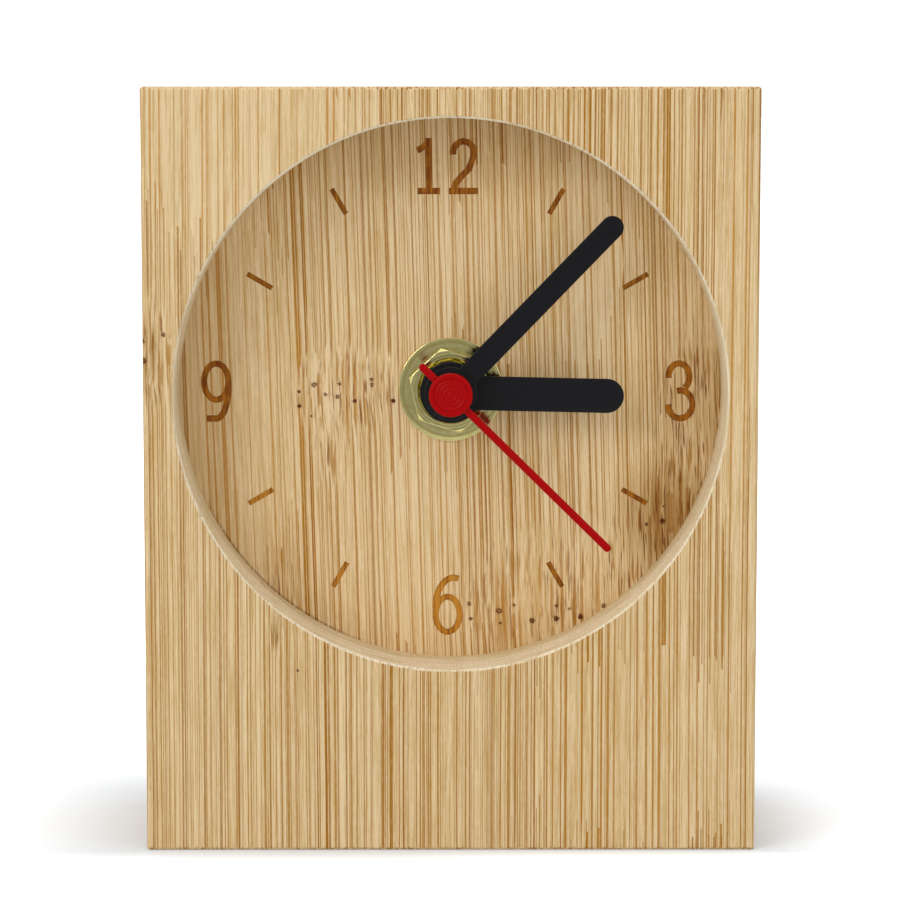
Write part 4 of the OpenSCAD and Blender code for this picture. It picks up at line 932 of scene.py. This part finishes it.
low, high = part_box("setting_knob")
knob_at = (low.x + high.x) / 2 / MM, (low.z + high.z) / 2 / MM
sign_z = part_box("case_cover")[0].z / MM + sign_up
sign_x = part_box("battery")[1].x / MM - sign_in
plus_sign = (sign_x, sign_z), bars(4, sign_l)
minus_sign = (-sign_x, sign_z), bars(2, sign_l)
arrow = knob_at, turn_arrow(r=6.4, first=60, last=125, head=12)
new_piece("pole_signs", raised([plus_sign, minus_sign]), sign_plastic, "housing", [])
new_piece("turn_arrow", raised([arrow]), sign_plastic, "housing", [])


# World, floor, lamps and camera. A mirror sees less light from the room in front of the clock.
world = bpy.data.worlds.new("studio")
bpy.context.scene.world = world
room_light = 0.7
front_mirrored = 0.36


def seen_and_mirrored(sh, to_front):
    """How white a ray sees it: 1 to the camera, and less in mirrors where to_front nears 1. Then
    whether the ray is one of those at all."""
    path = sh.node("ShaderNodeLightPath").outputs
    shiny = sh.most(path["Is Glossy Ray"], path["Is Transmission Ray"])
    mirrored = sh.times(shiny, sh.ramp(to_front, 0.55, 0.97, 1.0, front_mirrored))
    return sh.most(path["Is Camera Ray"], mirrored), sh.most(path["Is Camera Ray"], shiny)


class WorldShader(Shader):
    """The same short calls on the world's node tree."""

    def __init__(self, made):
        made.use_nodes = True
        self.tree = made.node_tree
        self.place = None


sky_shader = WorldShader(world)
sky = world.node_tree.nodes["Background"]
sky.inputs["Color"].default_value = (1, 1, 1, 1)
direction = sky_shader.node("ShaderNodeSeparateXYZ",
                            {0: sky_shader.node("ShaderNodeTexCoord").outputs["Generated"]})
white, visible = seen_and_mirrored(sky_shader, sky_shader.times(direction.outputs[1], -1.0))
plain_light = sky_shader.times(sky_shader.less(1.0, visible), room_light)
sky_shader.put(sky.inputs["Strength"], sky_shader.math("ADD", white, plain_light))

# The floor is white where it is seen, apart from the clock's shadow close by its sides, which is partly
# real shadow and partly painted shadow
block_half_d = (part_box("rear_block")[1].y - front_y) / 2
floor_size = 40
mirror_from = 60.0
mirror_to = 200.0
left_painted_shadow_reach = 30.0
right_painted_shadow_reach = 17.0
front_hurry = 4.0
near_lift = 0.4
far_lift = 0.6
far_from = 15.0
far_to = 120.0
floor_grey = (0.77, 0.8, 0.83, 1)
bpy.ops.mesh.primitive_plane_add(size=floor_size, location=(0, 0, 0))
floor = bpy.context.object
floor.name = "floor"
sh = Shader("floor_white_and_painted_shadow")
fx, fy, _ = sh.millimetres()
away = sh.length(fx, fy)
towards = sh.times(fy, -1.0)
to_front = sh.math("DIVIDE", towards, away)
white, visible = seen_and_mirrored(sh, sh.times(to_front, sh.ramp(away, mirror_from, mirror_to)))
eye_ray = sh.node("ShaderNodeLightPath").outputs["Is Camera Ray"]
# How far a point is from the block's foot, which counts more in front: the photo has no shadow there
beside = sh.most(sh.less(sh.math("ABSOLUTE", fx), block_w / 2 / MM), 0.0)
behind = sh.most(sh.less(fy, block_half_d / MM), 0.0)
before = sh.most(sh.less(towards, block_half_d / MM), 0.0)
from_foot = sh.length(beside, sh.scaled(before, front_hurry, behind))
# Painted shadow: the floor glows less to the camera close by the block's sides, and farther out on the left
# than on the right
painted_shadow_reach = sh.ramp(fx, -20.0, 20.0, left_painted_shadow_reach, right_painted_shadow_reach)
glow_with_painted_shadow = sh.math("ADD", sh.ramp(from_foot, -6.0, painted_shadow_reach, 0.0, near_lift),
               sh.ramp(from_foot, far_from, far_to, 0.0, far_lift))
seen_white_with_painted_shadow = sh.times(eye_ray, glow_with_painted_shadow)
lit = sh.node("ShaderNodeBsdfDiffuse", {"Color": floor_grey})
lifted = sh.node("ShaderNodeAddShader", {0: lit.outputs[0]})
sh.put(lifted.inputs[1], sh.node("ShaderNodeEmission", {"Strength": seen_white_with_painted_shadow}).outputs[0])
mirrored = sh.node("ShaderNodeEmission", {"Strength": white})
both = sh.node("ShaderNodeMixShader", {0: sh.less(visible, eye_ray)})
sh.put(both.inputs[1], lifted.outputs[0])
sh.put(both.inputs[2], mirrored.outputs[0])
sh.put(sh.output.inputs[0], both.outputs[0])
floor.data.materials.append(sh.material)


clock_middle = Vector((0, 0, 0.05))


def lamp(name, size, power, place):
    """A round soft lamp that faces the clock."""
    light = bpy.data.lights.new(name, "AREA")
    light.shape = "DISK"
    light.size = size
    light.energy = power
    made = bpy.data.objects.new(name, light)
    bpy.context.scene.collection.objects.link(made)
    made.location = place
    made.rotation_euler = (clock_middle - made.location).to_track_quat("-Z", "Y").to_euler()


lamp("key_lamp", size=0.7, power=3.6, place=(-0.75, -0.72, 0.62))
lamp("fill_lamp", size=0.8, power=0.8, place=(0.65, -0.8, 0.35))
lamp("top_lamp", size=0.8, power=1.8, place=(0.0, -0.1, 0.9))

# The camera stands a little above the clock and looks slightly down
camera_distance = 0.4
camera_place = (-0.00085, front_y - camera_distance, 0.098)
camera_tilt = 5.75
camera_turn = 0.107
camera_lens = 123.83
camera_shift = -0.04
camera = bpy.data.cameras.new("camera")
camera.sensor_width = 36.0
camera.lens = camera_lens
camera.shift_y = camera_shift
camera.clip_start = 0.01
eye = bpy.data.objects.new("camera", camera)
bpy.context.scene.collection.objects.link(eye)
eye.location = camera_place
eye.rotation_euler = Euler((math.radians(90 - camera_tilt), 0, math.radians(-camera_turn)))
bpy.context.scene.camera = eye
bpy.context.scene.view_settings.view_transform = "Standard"
